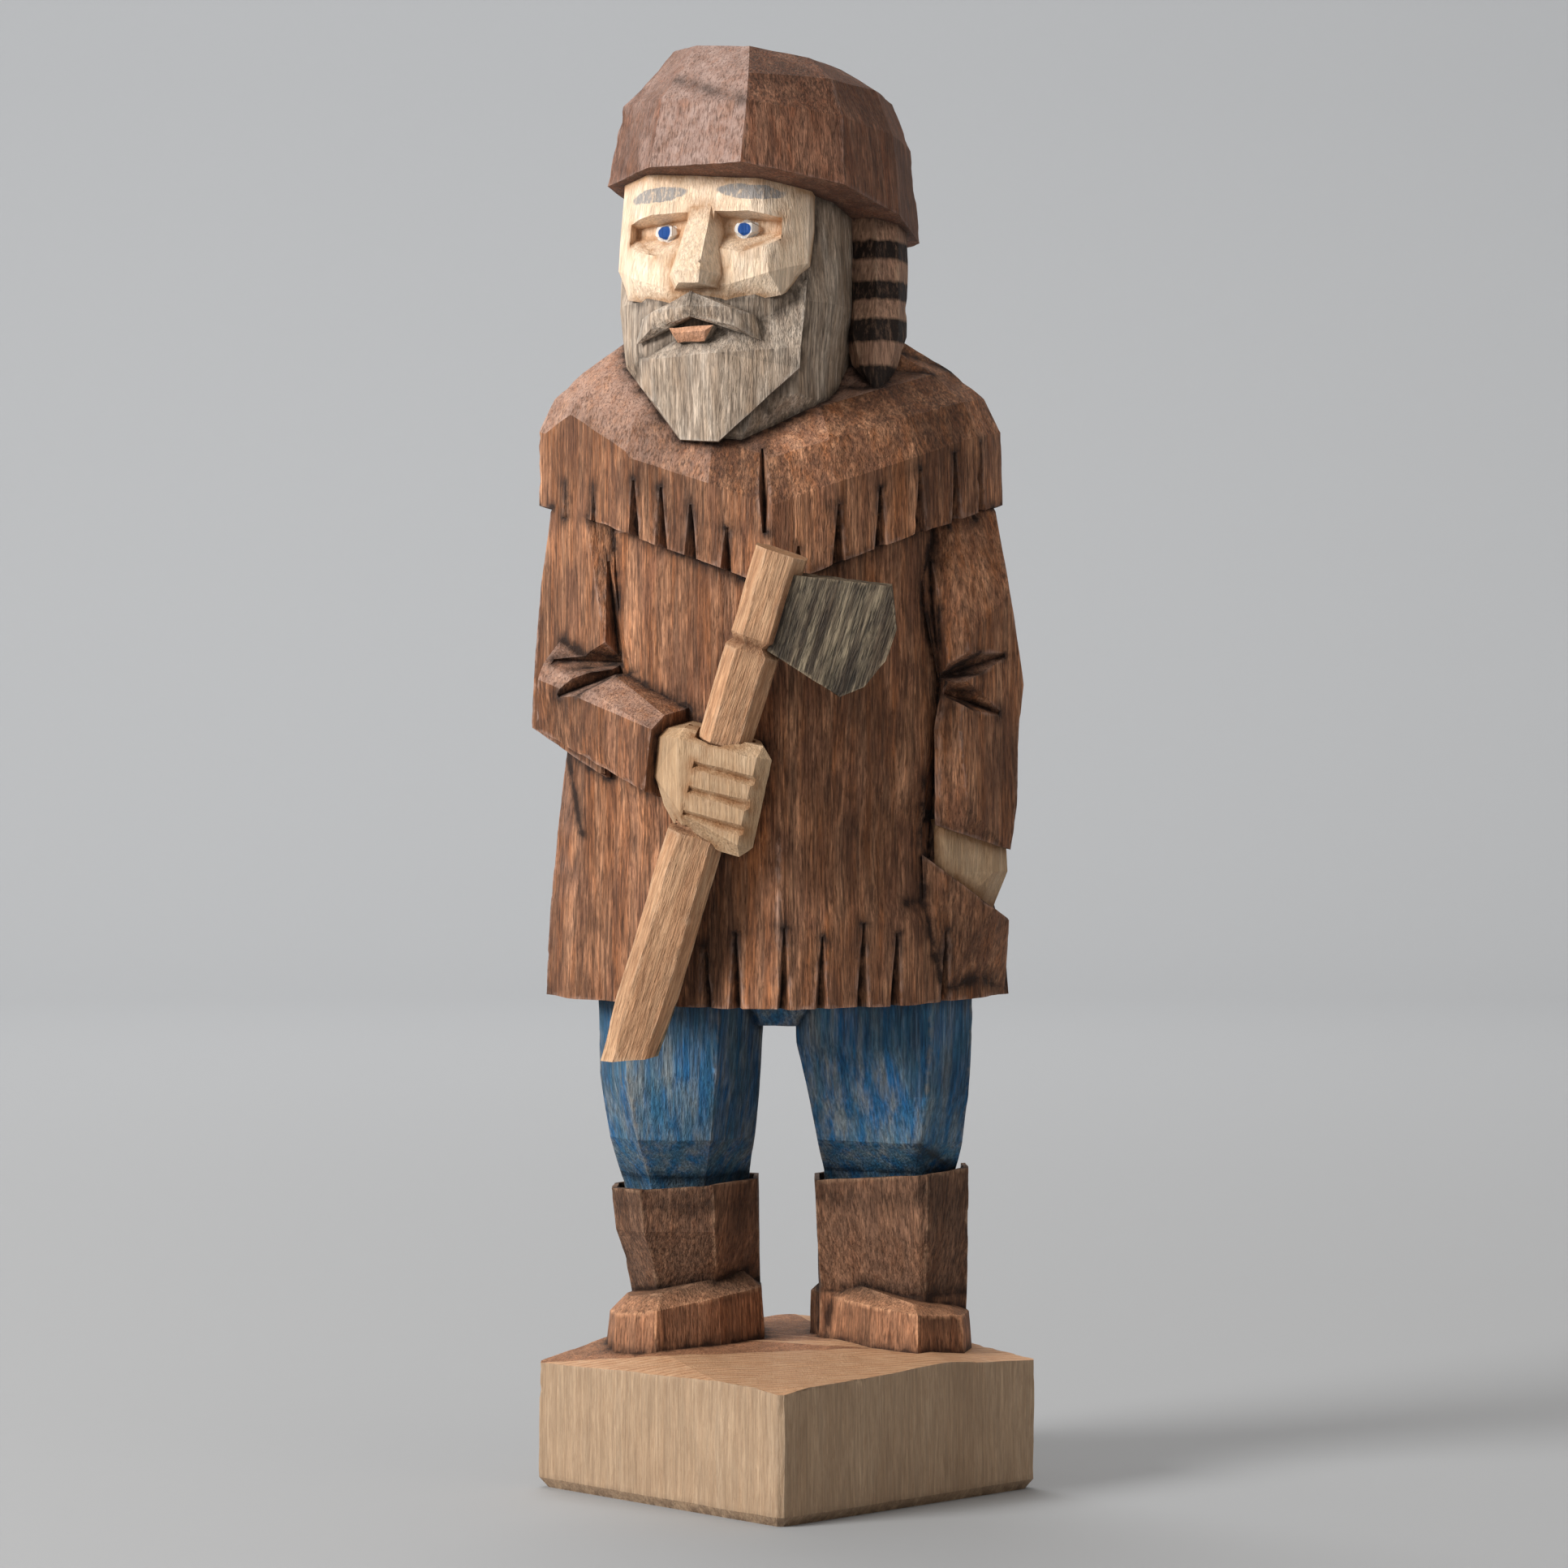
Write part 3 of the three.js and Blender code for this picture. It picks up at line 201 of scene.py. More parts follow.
def split_triangles(triangles, cuts, owner):
    """Splits each triangle at the new points on its sides, where -1 means none."""
    made, made_owner = [], []

    def keep(columns, source):
        made.append(np.stack(columns, 1))
        made_owner.append(source)

    count = (cuts >= 0).sum(1)
    whole = count == 0
    keep(triangles[whole].T, owner[whole])
    leads = {
        1: (cuts >= 0).argmax(1),
        2: ((cuts < 0).argmax(1) + 1) % 3,
        3: np.zeros(len(cuts), int),
    }
    for wanted, lead in leads.items():
        chosen = np.flatnonzero(count == wanted)
        turned = (lead[chosen, None] + np.arange(3)) % 3
        a, b, c = np.take_along_axis(triangles[chosen], turned, 1).T
        ab, bc, ca = np.take_along_axis(cuts[chosen], turned, 1).T
        source = owner[chosen]
        if wanted == 1:
            keep((a, ab, c), source)
            keep((ab, b, c), source)
        elif wanted == 2:
            keep((ab, b, bc), source)
            keep((a, ab, bc), source)
            keep((a, bc, c), source)
        else:
            keep((a, ab, ca), source)
            keep((ab, b, bc), source)
            keep((ca, bc, c), source)
            keep((ab, bc, ca), source)
    return np.vstack(made), np.concatenate(made_owner)


def divide(points, triangles, wanted_length):
    """Halves long sides until each is short enough for its place. Returns each new triangle's source too."""
    owner = np.arange(len(triangles))
    for _ in range(MOST_HALVINGS):
        sides = np.sort(triangles[:, [[0, 1], [1, 2], [2, 0]]], axis=2)
        keys, inverse = np.unique(sides[..., 0] * len(points) + sides[..., 1], return_inverse=True)
        starts, ends = points[keys // len(points)], points[keys % len(points)]
        middles = (starts + ends) / 2
        length = np.linalg.norm(ends - starts, axis=1)
        long = length > PLAIN_EDGE
        unsure = np.flatnonzero((length > FINE_EDGE) & ~long)
        long[unsure] = length[unsure] > wanted_length(middles[unsure])
        if not long.any():
            break
        added = np.full(len(keys), -1)
        added[long] = len(points) + np.arange(long.sum())
        points = np.vstack([points, middles[long]])
        triangles, owner = split_triangles(triangles, added[inverse].reshape(-1, 3), owner)
    return points, triangles, owner


# Which finish each cut carries

def hull_test(corners):
    """A function that says which places lie in or on the hull of the corners."""
    shell = bmesh.new()
    for corner in corners:
        shell.verts.new(corner)
    bmesh.ops.convex_hull(shell, input=shell.verts)
    shell.normal_update()
    middle = np.mean(corners, axis=0)
    normals, offsets = [], []
    for face in shell.faces:
        normal = np.array(face.normal)
        offset = normal @ np.array(face.verts[0].co)
        sign = 1 if normal @ middle < offset else -1
        normals.append(sign * normal)
        offsets.append(sign * offset)
    shell.free()
    return lambda places: (places @ np.array(normals).T - np.array(offsets)).max(1) < 0.05


def head_frame(places):
    """Across, forward and height in the turned head's own frame."""
    x, y = places[:, 0] - HEAD_PLACE[0], places[:, 1] - HEAD_PLACE[1]
    cos, sin = math.cos(HEAD_TURN), math.sin(HEAD_TURN)
    return cos * x - sin * y, -sin * x - cos * y, places[:, 2]


def on_hair(places):
    across, forward, height = head_frame(places)
    half, front, back, sweep = (np.interp(height, HEAD_ROWS[:, 0], HEAD_ROWS[:, i]) for i in range(1, 5))
    u = np.abs(across - sweep) / half
    v = np.abs(forward - (front + back) / 2) / ((front - back) / 2)
    round_hair = (u ** HEAD_ROUNDNESS + v ** HEAD_ROUNDNESS < HAIR_ROOM) | hull_test(BEARD_FRONT)(places)
    moustache = (
        (np.abs(across) < MOUSTACHE["half"]) & (forward > MOUSTACHE["forward"])
        & (height > MOUSTACHE["bottom"]) & (height < MOUSTACHE["top"])
    )
    return (height > HAIR_BOTTOM) & (round_hair | moustache)


def on_skin(places):
    across, forward, height = head_frame(places)
    mirrored = [(side * a, f, h) for a, f, h in FACE_MASS for side in (-1, 1)]
    mass = hull_test(mirrored)(np.stack([across, forward, height], 1))
    nose = (np.abs(across) < NOSE["half"]) & (forward > NOSE["forward"]) & (height > NOSE["bottom"])
    lip = (
        (np.abs(across) < LOWER_LIP["half"]) & (forward > LOWER_LIP["forward"])
        & (height > LOWER_LIP["bottom"]) & (height < LOWER_LIP["top"])
    )
    return mass | nose | lip


def on_tail(places):
    x, y, half, deep = (np.interp(places[:, 2], TAIL_ROWS[:, 0], TAIL_ROWS[:, i]) for i in range(1, 5))
    u, v = np.abs(places[:, 0] - x) / half, np.abs(places[:, 1] - y) / deep
    eight_sided = np.maximum(np.maximum(u, v), (u + v) / math.sqrt(2)) < TAIL_ROOM
    return eight_sided & (places[:, 2] > TAIL_ROWS[0, 0] - 0.1)


def fist_place(right, forward, up):
    """A place in the fist's own frame, which leans with the axe, as a place in the figure."""
    lean, turn = math.radians(FIST["lean"]), math.radians(FIST["turn"])
    x = right * math.cos(lean) + up * math.sin(lean)
    z = -right * math.sin(lean) + up * math.cos(lean)
    y = -forward
    return (
        x * math.cos(turn) - y * math.sin(turn) + FIST["centre"][0],
        x * math.sin(turn) + y * math.cos(turn) + FIST["centre"][1],
        z + FIST["centre"][2],
    )


def knuckle_places():
    half, height, front, back = (FIST[k] for k in ("half", "height", "front", "back"))
    places = []
    for side in (-1, 1):
        rear = half - (FIST["left_inset"] if side < 0 else FIST["right_inset"])
        for level in (-1, 1):
            cut = FIST["wrist_chamfer"] if side < 0 and level < 0 else FIST["chamfer"]
            places += [
                fist_place(side * (half - cut), front, level * (height - cut)),
                fist_place(side * half, front - cut, level * (height - cut)),
                fist_place(side * (half - cut), front - cut, level * height),
                fist_place(side * rear, -back, level * (height - cut)),
                fist_place(side * (rear - cut), -back, level * height),
            ]
    return places


def on_fist(places):
    middle = np.mean(CUFF_END, axis=0)
    wrist = [tuple(np.array(place) * (1 - WRIST_INSET) + middle * WRIST_INSET) for place in CUFF_END]
    return hull_test(knuckle_places() + wrist)(places)


def on_pocket_hand(places):
    left, right, front, slant, back = (POCKET_HAND[k] for k in ("left", "right", "front", "slant", "back"))
    corners = []
    for height, draw, tuck in POCKET_HAND_ROWS:
        corners += [
            (left, front + 1.5 + draw, height), (left + 1.4, front + draw, height),
            (right - 2.2 - tuck, front + slant * 0.6 + draw, height),
            (right - tuck, front + slant + 1.2 + draw, height),
            (right - tuck, back, height), (left, back, height),
        ]
    return hull_test(corners)(places)


def inside_cuffs(places):
    """Whether each place is inside a boot's hollow rim, and whether it is above both rims."""
    x, y, z = places.T
    inside = np.zeros(len(places), bool)
    above = np.ones(len(places), bool)
    for rim in BOOT_RIMS:
        left, right, front, back = (rim[side] for side in ("left", "right", "front", "back"))
        room = np.minimum.reduce([x - left, right - x, y - front, back - y])
        ends = [(x - left, y - front), (right - x, y - front), (right - x, back - y), (x - left, back - y)]
        for (across, deep), (cut_x, cut_y) in zip(ends, rim["corners"]):
            beyond = (across / cut_x + deep / cut_y - 1) / math.hypot(1 / cut_x, 1 / cut_y)
            room = np.minimum(room, beyond)
        inside |= room > CUFF_WALL
        near = (x > left - 2) & (x < right + 2)
        above &= ~(near & (z < rim["top"] + rim["tilt"] * (x - left) + 0.05))
    return inside, above


def figure_finishes(points, triangles):
    """For each triangle of the figure, the number of its finish."""
    places = points[triangles].mean(1)
    outward = facing(points, triangles)
    x, y, z = places.T
    zones = np.full(len(triangles), FINISHES.index("coat"))
    between = (np.abs(x) < TROUSERS["half"]) & (y > TROUSERS["front"]) & (y < TROUSERS["back"])
    legs = between & (z < TROUSERS["top"]) & (outward[:, 2] > -0.6)
    zones[legs | (z < COAT_BOTTOM)] = FINISHES.index("trousers")
    inside, above = inside_cuffs(places)
    trouser_legs = (above & (z > CUFF_FLOOR)) | (inside & (z > CUFF_FLOOR) & (outward[:, 2] < 0.5))
    zones[(z < BOOTS_TOP) & ~trouser_legs] = FINISHES.index("boots")
    base_top = np.min([h + ax * x + ay * y for h, ax, ay in BASE_TOP_FACETS], axis=0)
    zones[z < base_top + ZONE_ROOM] = FINISHES.index("base")
    on_cape = (outward[:, 2] > 0.25) & (z < CAPE_TOP)
    zones[on_hair(places) & ~on_cape] = FINISHES.index("hair")
    zones[on_tail(places)] = FINISHES.index("tail")
    zones[on_skin(places) | on_fist(places) | on_pocket_hand(places)] = FINISHES.index("skin")
    brim = HAT_BRIM[0] + HAT_BRIM[1] * x + HAT_BRIM[2] * y
    zones[z > brim - ZONE_ROOM] = FINISHES.index("hat")
    return zones


def axe_finishes(points, triangles):
    """For each triangle of the axe, 0 for the handle or 1 for the head, which stands out to its right."""
    down = (AXE_BOTTOM - AXE_TOP).normalized()
    forward = (Vector((0, -1, 0)) + down * down.y).normalized()
    right = forward.cross(down).normalized()
    away = points[triangles].mean(1) - np.array(AXE_TOP)
    across, along = away @ np.array(right), away @ np.array(down)
    flat = np.abs(facing(points, triangles) @ np.array(forward)) > 0.9
    cheek = flat & (across > AXE_CHEEK_START) & (along > 0.5) & (along < AXE_HEAD_HEIGHT)
    return ((across > AXE_HANDLE_HALF) | cheek).astype(int)


# The whittled surface

def knife_work(points, outward, to_ridge):
    """Slightly uneven cuts: a slow wander, shallow flutes along the grain and small chips on the arrises."""
    moved = points.copy()
    for i, place in enumerate(points):
        here = Vector(place)
        slow = noise.noise_vector(here / SLOW_WANDER["size"]) * SLOW_WANDER["reach"]
        small_place = here / SMALL_WANDER["size"] + SMALL_WANDER["shift"]
        small = noise.noise_vector(small_place) * SMALL_WANDER["reach"]
        x, y, z = place
        flute_place = Vector((x / FLUTE["width"], y / FLUTE["width"], z / FLUTE["length"]))
        flute = noise.noise(flute_place) * FLUTE["depth"]
        chipping = max(0.0, noise.noise(here / CHIP["size"] + CHIP["shift"]) - CHIP["least"])
        chip = chipping * CHIP["depth"] * math.exp(-to_ridge[i] / CHIP["reach"])
        settle = min(1.0, max(0.0, z / STILL_FOOT))
        moved[i] += (np.array(slow + small) + outward[i] * (flute - chip)) * settle
    return moved


def point_directions(points, triangles):
    """Each point's outward direction, the mean of its triangles'."""
    outward = facing(points, triangles)
    total = np.zeros_like(points)
    for i in range(3):
        np.add.at(total, triangles[:, i], outward)
    return total / np.maximum(np.linalg.norm(total, axis=1, keepdims=True), 1e-9)


def carve(name, node, finishes, materials):
    """A finely divided copy of a solid, with its knife work, finishes and masks for worn arrises and for cuts
    darkened with grime and painted shade.
    """
    points, triangles = solid_triangles(node)
    zones = finishes(points, triangles)
    sides, standing, facets = knife_edges(points, triangles, zones)
    edges = distance_finder(places_along(points, sides[np.abs(standing) > CRISP_ANGLE]))
    ridges = distance_finder(places_along(points, sides[standing > WEARING_ANGLE]))
    grooves = distance_finder(places_along(points, sides[standing < 0]))

    def wanted_length(places):
        grown = FINE_EDGE + (edges(places) - FINE_REACH) * EDGE_GROWTH
        return np.clip(grown, FINE_EDGE, PLAIN_EDGE)

    points, triangles, owner = divide(points, triangles, wanted_length)
    to_ridge, to_groove = ridges(points), grooves(points)
    points = knife_work(points, point_directions(points, triangles), to_ridge)
    piece = make_piece(name, points, triangles, zones[owner], facets[owner], materials)
    add_mask(piece, "ridge", "POINT", np.exp(-to_ridge / RIDGE_REACH))
    # The groove mask carries the painted shade, with some grime, in the cuts.
    add_mask(piece, "groove", "POINT", np.exp(-to_groove / GROOVE_REACH))
    tones = np.random.default_rng(7).random(len(facets))
    add_mask(piece, "facet_tone", "FACE", tones[facets[owner]])
    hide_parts(node)
    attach(piece, "root")
    return piece


def make_piece(name, points, triangles, zones, facets, materials):
    """The mesh in the scene, smooth within each facet and sharp between two."""
    mesh = bpy.data.meshes.new(name)
    mesh.from_pydata((points * MM).tolist(), [], triangles.tolist())
    for material in materials:
        mesh.materials.append(material)
    mesh.polygons.foreach_set("material_index", zones.astype(np.int32))
    mesh.polygons.foreach_set("use_smooth", np.ones(len(triangles), bool))
    sides, left, right = shared_sides(triangles)
    parted = sides[facets[left] != facets[right]]
    ends = np.empty(len(mesh.edges) * 2, np.int32)
    mesh.edges.foreach_get("vertices", ends)
    ends = np.sort(ends.reshape(-1, 2).astype(np.int64), axis=1)
    keys, parted_keys = (pairs[:, 0] * len(points) + pairs[:, 1] for pairs in (ends, parted))
    sharp = np.isin(keys, parted_keys)
    mesh.attributes.new("sharp_edge", "BOOLEAN", "EDGE").data.foreach_set("value", sharp)
    mesh.update()
    piece = bpy.data.objects.new(name, mesh)
    bpy.context.scene.collection.objects.link(piece)
    return piece


def add_mask(piece, name, domain, values):
    piece.data.attributes.new(name, "FLOAT", domain).data.foreach_set("value", values.astype(np.float32))


# Shader nodes

def put(tree, kind, inputs=None, **settings):
    """Adds a node. An input is a socket to link from, or a value."""
    node = tree.nodes.new(kind)
    for key, value in settings.items():
        setattr(node, key, value)
    for key, value in (inputs or {}).items():
        if isinstance(value, bpy.types.NodeSocket):
            tree.links.new(value, node.inputs[key])
        else:
            node.inputs[key].default_value = value
    return node


def work_out(tree, operation, *values, clamp=False):
    inputs = dict(enumerate(values))
    return put(tree, "ShaderNodeMath", inputs, operation=operation, use_clamp=clamp).outputs[0]


def spread(tree, value, low, high, to_low=0.0, to_high=1.0):
    """Spreads a value's range, kept within its new ends."""
    inputs = {"Value": value, "From Min": low, "From Max": high, "To Min": to_low, "To Max": to_high}
    return put(tree, "ShaderNodeMapRange", inputs).outputs[0]


def mix_colours(tree, share, first, second, way="MIX"):
    node = put(tree, "ShaderNodeMix", {0: share, 6: first, 7: second}, data_type="RGBA", blend_type=way)
    return node.outputs[2]


def speckle(tree, place, size, detail=2.0, rough=0.5, wavy=0.0):
    """Noise with spots of this size in millimetres."""
    inputs = {
        "Vector": place, "Scale": 1 / (size * MM), "Detail": detail, "Roughness": rough, "Distortion": wavy,
    }
    return put(tree, "ShaderNodeTexNoise", inputs).outputs["Fac"]


def mapped(tree, place, **inputs):
    """Places moved, turned or squeezed."""
    return put(tree, "ShaderNodeMapping", {"Vector": place, **inputs}).outputs[0]


def stretched(tree, place, along, offset=(0, 0, 0)):
    """Places squeezed along the grain, so that spots become streaks."""
    return mapped(tree, place, Scale=(1, 1, along), Location=offset)


def start_group(name, inputs, outputs):
    """A new node group, the sockets it is given and the sockets it puts out."""
    tree = bpy.data.node_groups.new(name, "ShaderNodeTree")
    for label, kind, value in inputs:
        socket = tree.interface.new_socket(label, in_out="INPUT", socket_type="NodeSocket" + kind)
        socket.default_value = value
    for label, kind in outputs:
        tree.interface.new_socket(label, in_out="OUTPUT", socket_type="NodeSocket" + kind)
    return tree, tree.nodes.new("NodeGroupInput").outputs, tree.nodes.new("NodeGroupOutput").inputs


def place_group(tree, group, inputs):
    return put(tree, "ShaderNodeGroup", inputs, node_tree=group).outputs


def ring_lines(tree, place, scale, wavy, detail, detail_scale):
    """Yearly rings round an upright line, closer together at a larger scale."""
    inputs = {
        "Vector": place, "Scale": scale, "Distortion": wavy, "Detail": detail, "Detail Scale": detail_scale,
    }
    return put(tree, "ShaderNodeTexWave", inputs, wave_type="RINGS", rings_direction="Z").outputs["Fac"]


def grain_group():
    """Long streaks, fine fibres, short open pores and yearly rings of basswood, whose grain runs along Z."""
    tree, given, out = start_group(
        "basswood_grain",
        [("Place", "Vector", (0, 0, 0))],
        [("Streaks", "Float"), ("Fibres", "Float"), ("Pores", "Float"), ("Rings", "Float")],
    )
    place = given["Place"]
    streaks = speckle(tree, stretched(tree, place, 0.07), 1.7, 4.0, 0.62, 0.3)
    fibres = speckle(tree, stretched(tree, place, 0.045, (0.3, 0.1, 0)), 0.36, 3.0, 0.62)
    pores = speckle(tree, stretched(tree, place, 0.09, (0.1, 0.7, 0)), 0.27, 2.0, 0.7, 0.4)
    bent = mapped(tree, place, Location=(0.085, -0.14, 0), Scale=(1, 1, 0.02))
    rings = ring_lines(tree, bent, 130, 2.2, 2.0, 30)
    tree.links.new(spread(tree, streaks, 0.39, 0.61), out["Streaks"])
    tree.links.new(spread(tree, fibres, 0.36, 0.64), out["Fibres"])
    tree.links.new(spread(tree, pores, 0.5, 0.64), out["Pores"])
    tree.links.new(rings, out["Rings"])
    return tree


def mottle_group():
    """Broad patches and small dark flecks where stain soaked in unevenly."""
    tree, given, out = start_group(
        "stain_mottle",
        [("Place", "Vector", (0, 0, 0))],
        [("Patches", "Float"), ("Clouds", "Float"), ("Flecks", "Float")],
    )
    place = given["Place"]
    patches = speckle(tree, stretched(tree, place, 0.28), 3.6, 5.0, 0.68, 0.5)
    clouds = speckle(tree, stretched(tree, place, 0.6, (0.9, 0.2, 0.3)), 13.0, 2.0, 0.5)
    flecks = speckle(tree, stretched(tree, place, 0.17, (0.2, 0.4, 0.1)), 0.55, 4.0, 0.68, 0.5)
    tree.links.new(spread(tree, patches, 0.4, 0.6), out["Patches"])
    tree.links.new(spread(tree, clouds, 0.36, 0.64), out["Clouds"])
    tree.links.new(spread(tree, flecks, 0.46, 0.66), out["Flecks"])
    return tree


def wear_group():
    """Worn arrises, and cuts darkened with grime and painted shade, from the masks that the mesh carries."""
    tree, given, out = start_group(
        "edge_wear",
        [("Place", "Vector", (0, 0, 0)), ("Wear", "Float", 0.5), ("Dirt", "Float", 0.5)],
        [("Worn", "Float"), ("Dirt", "Float")],
    )
    ridge = put(tree, "ShaderNodeAttribute", attribute_name="ridge").outputs["Fac"]
    groove = put(tree, "ShaderNodeAttribute", attribute_name="groove").outputs["Fac"]
    patchy = spread(tree, speckle(tree, given["Place"], 2.6, 4.0, 0.65), 0.35, 0.65)
    worn = spread(tree, work_out(tree, "MULTIPLY", ridge, work_out(tree, "ADD", patchy, 0.45)), 0.45, 1.05)
    # Painted shade with some grime: colour darkens near the concave arrises, where shade falls.
    dirt = spread(tree, work_out(tree, "MULTIPLY", groove, work_out(tree, "ADD", patchy, 0.6)), 0.15, 1.0)
    tree.links.new(work_out(tree, "MULTIPLY", worn, given["Wear"], clamp=True), out["Worn"])
    tree.links.new(work_out(tree, "MULTIPLY", dirt, given["Dirt"], clamp=True), out["Dirt"])
    return tree


def fuzz_group():
    """Paler patches on facets that face the Toward direction: ragged fibres on cuts that slope across the
    grain, and painted sheen where Toward points at the key light.
    """
    tree, given, out = start_group(
        "torn_fibres",
        [
            ("Place", "Vector", (0, 0, 0)), ("Amount", "Float", 0.5), ("Toward", "Vector", (0, 0, 1)),
            ("Start", "Float", 0.2), ("Full", "Float", 0.55),
        ],
        [("Fuzz", "Float")],
    )
    slope = tree.nodes.new("ShaderNodeTexCoord").outputs["Normal"]
    raised = put(tree, "ShaderNodeVectorMath", {0: slope, 1: given["Toward"]}, operation="DOT_PRODUCT")
    sloping = spread(tree, raised.outputs["Value"], given["Start"], given["Full"])
    torn = spread(tree, speckle(tree, given["Place"], 2.4, 5.0, 0.75), 0.36, 0.6, 0.35, 1.0)
    patchy = work_out(tree, "MULTIPLY", sloping, torn)
    tree.links.new(work_out(tree, "MULTIPLY", patchy, given["Amount"]), out["Fuzz"])
    return tree


def finish_group(grain, mottle, wear, fuzz):
    """A wash or stain over basswood: its colour, roughness and the height of its fibres."""
    tree, given, out = start_group(
        "finish_on_basswood",
        [
            ("Place", "Vector", (0, 0, 0)),
            ("Main", "Color", (0.3, 0.2, 0.1, 1)), ("Pale", "Color", (0.5, 0.4, 0.3, 1)),
            ("Other", "Color", (0.2, 0.15, 0.1, 1)), ("Deep", "Color", (0.1, 0.05, 0.03, 1)),
            ("Rubbed", "Color", (0.5, 0.4, 0.3, 1)), ("Soiled", "Color", (0.02, 0.01, 0.007, 1)),
            ("Streaking", "Float", 0.5), ("Mottling", "Float", 0.5), ("Clouding", "Float", 0.3),
            ("Flecking", "Float", 0.5), ("Pitting", "Float", 0.5), ("Ringing", "Float", 0.1),
            ("Facets", "Float", 0.2), ("Wear", "Float", 0.5), ("Dirt", "Float", 0.5), ("Fuzz", "Float", 0.3),
            ("Dullness", "Float", 0.6), ("Grain", "Float", 0.5),
            ("Toward", "Vector", (-0.25, -0.2, 0.95)), ("Start", "Float", 0.2), ("Full", "Float", 0.55),
        ],
        [("Color", "Color"), ("Roughness", "Float"), ("Height", "Float")],
    )
    place = given["Place"]
    wood = place_group(tree, grain, {"Place": place})
    soaked = place_group(tree, mottle, {"Place": place})
    edges = place_group(tree, wear, {"Place": place, "Wear": given["Wear"], "Dirt": given["Dirt"]})
    fuzz_inputs = {label: given[label] for label in ("Toward", "Start", "Full")}
    torn = place_group(tree, fuzz, {"Place": place, "Amount": given["Fuzz"], **fuzz_inputs})
    tone = put(tree, "ShaderNodeAttribute", attribute_name="facet_tone").outputs["Fac"]

    def scaled(value, amount):
        return work_out(tree, "MULTIPLY", value, amount, clamp=True)

    def swing(value, amount):
        return work_out(tree, "MULTIPLY", work_out(tree, "SUBTRACT", value, 0.5), amount)

    colour = mix_colours(tree, scaled(wood["Streaks"], given["Streaking"]), given["Main"], given["Pale"])
    colour = mix_colours(tree, scaled(soaked["Patches"], given["Mottling"]), colour, given["Other"])
    colour = mix_colours(tree, scaled(soaked["Clouds"], given["Clouding"]), colour, given["Deep"])
    fleck = scaled(work_out(tree, "MULTIPLY", soaked["Flecks"], wood["Fibres"]), given["Flecking"])
    colour = mix_colours(tree, fleck, colour, given["Deep"])
    colour = mix_colours(tree, scaled(wood["Rings"], given["Ringing"]), colour, given["Deep"])
    cut_shade = work_out(tree, "ADD", 1.0, swing(tone, given["Facets"]))
    shade = work_out(tree, "ADD", cut_shade, swing(wood["Fibres"], given["Grain"]))
    shaded = put(tree, "ShaderNodeCombineXYZ", {0: shade, 1: shade, 2: shade}).outputs[0]
    colour = mix_colours(tree, 1.0, colour, shaded, "MULTIPLY")
    # Painted sheen: facets facing the Toward direction, which for the coat and hat is the key light, turn
    # paler; on up-facing cuts this also stands for ragged end grain.
    colour = mix_colours(tree, torn["Fuzz"], colour, given["Rubbed"])
    colour = mix_colours(tree, edges["Worn"], colour, given["Rubbed"])
    colour = mix_colours(tree, scaled(wood["Pores"], given["Pitting"]), colour, given["Deep"])
    # Painted shade with some grime: the cuts darken toward a near-black colour.
    colour = mix_colours(tree, edges["Dirt"], colour, given["Soiled"])
    tree.links.new(colour, out["Color"])
    fibre_shine = swing(wood["Fibres"], 0.2)
    tree.links.new(work_out(tree, "ADD", given["Dullness"], fibre_shine, clamp=True), out["Roughness"])
    pore_depth = work_out(tree, "MULTIPLY", wood["Pores"], -1.2)
    fleck_depth = work_out(tree, "MULTIPLY", soaked["Flecks"], -0.5)
    pits = work_out(tree, "ADD", pore_depth, fleck_depth)
    tree.links.new(work_out(tree, "ADD", wood["Fibres"], pits), out["Height"])
    return tree


def build_groups():
    return finish_group(grain_group(), mottle_group(), wear_group(), fuzz_group())


# Materials

def object_place(tree):
    return tree.nodes.new("ShaderNodeTexCoord").outputs["Object"]


def brushed(tree, along, low, high, to_low, to_high):
    """How thickly a brush laid its paint, in streaks along the grain."""
    streaks = speckle(tree, stretched(tree, object_place(tree), along), 0.5, 3.0, 0.7)
    return spread(tree, streaks, low, high, to_low, to_high)


def close_material(tree, colour, roughness, height, bump, sheen=0.0):
    """Joins the finish to the shader, with its fibres as a fine bump."""
    bumped = put(tree, "ShaderNodeBump", {"Strength": bump, "Distance": 0.25 * MM, "Height": height})
    shader = put(
        tree, "ShaderNodeBsdfPrincipled",
        {"Base Color": colour, "Roughness": roughness, "Normal": bumped.outputs[0],
         "Specular IOR Level": 0.2, "Sheen Weight": sheen},
    )
    output = tree.nodes.new("ShaderNodeOutputMaterial")
    tree.links.new(shader.outputs[0], output.inputs["Surface"])


def start_material(name):
    material = bpy.data.materials.new(name)
    material.use_nodes = True
    material.node_tree.nodes.clear()
    return material, material.node_tree


def rgb(red, green, blue):
    return (red, green, blue, 1.0)


def finished_material(name, finish, place=None, paint=None, bump=0.4, sheen=0.0, **values):
    """A material of the shared finish. paint may lay more colour over it."""
    material, tree = start_material(name)
    where = (place or object_place)(tree)
    labels = {key.capitalize(): value for key, value in values.items()}
    finished = place_group(tree, finish, {"Place": where, **labels})
    colour = paint(tree, finished["Color"]) if paint else finished["Color"]
    close_material(tree, colour, finished["Roughness"], finished["Height"], bump, sheen)
    return material


# Paint and markings, in millimetres

BRUSH_WOBBLE = 0.9


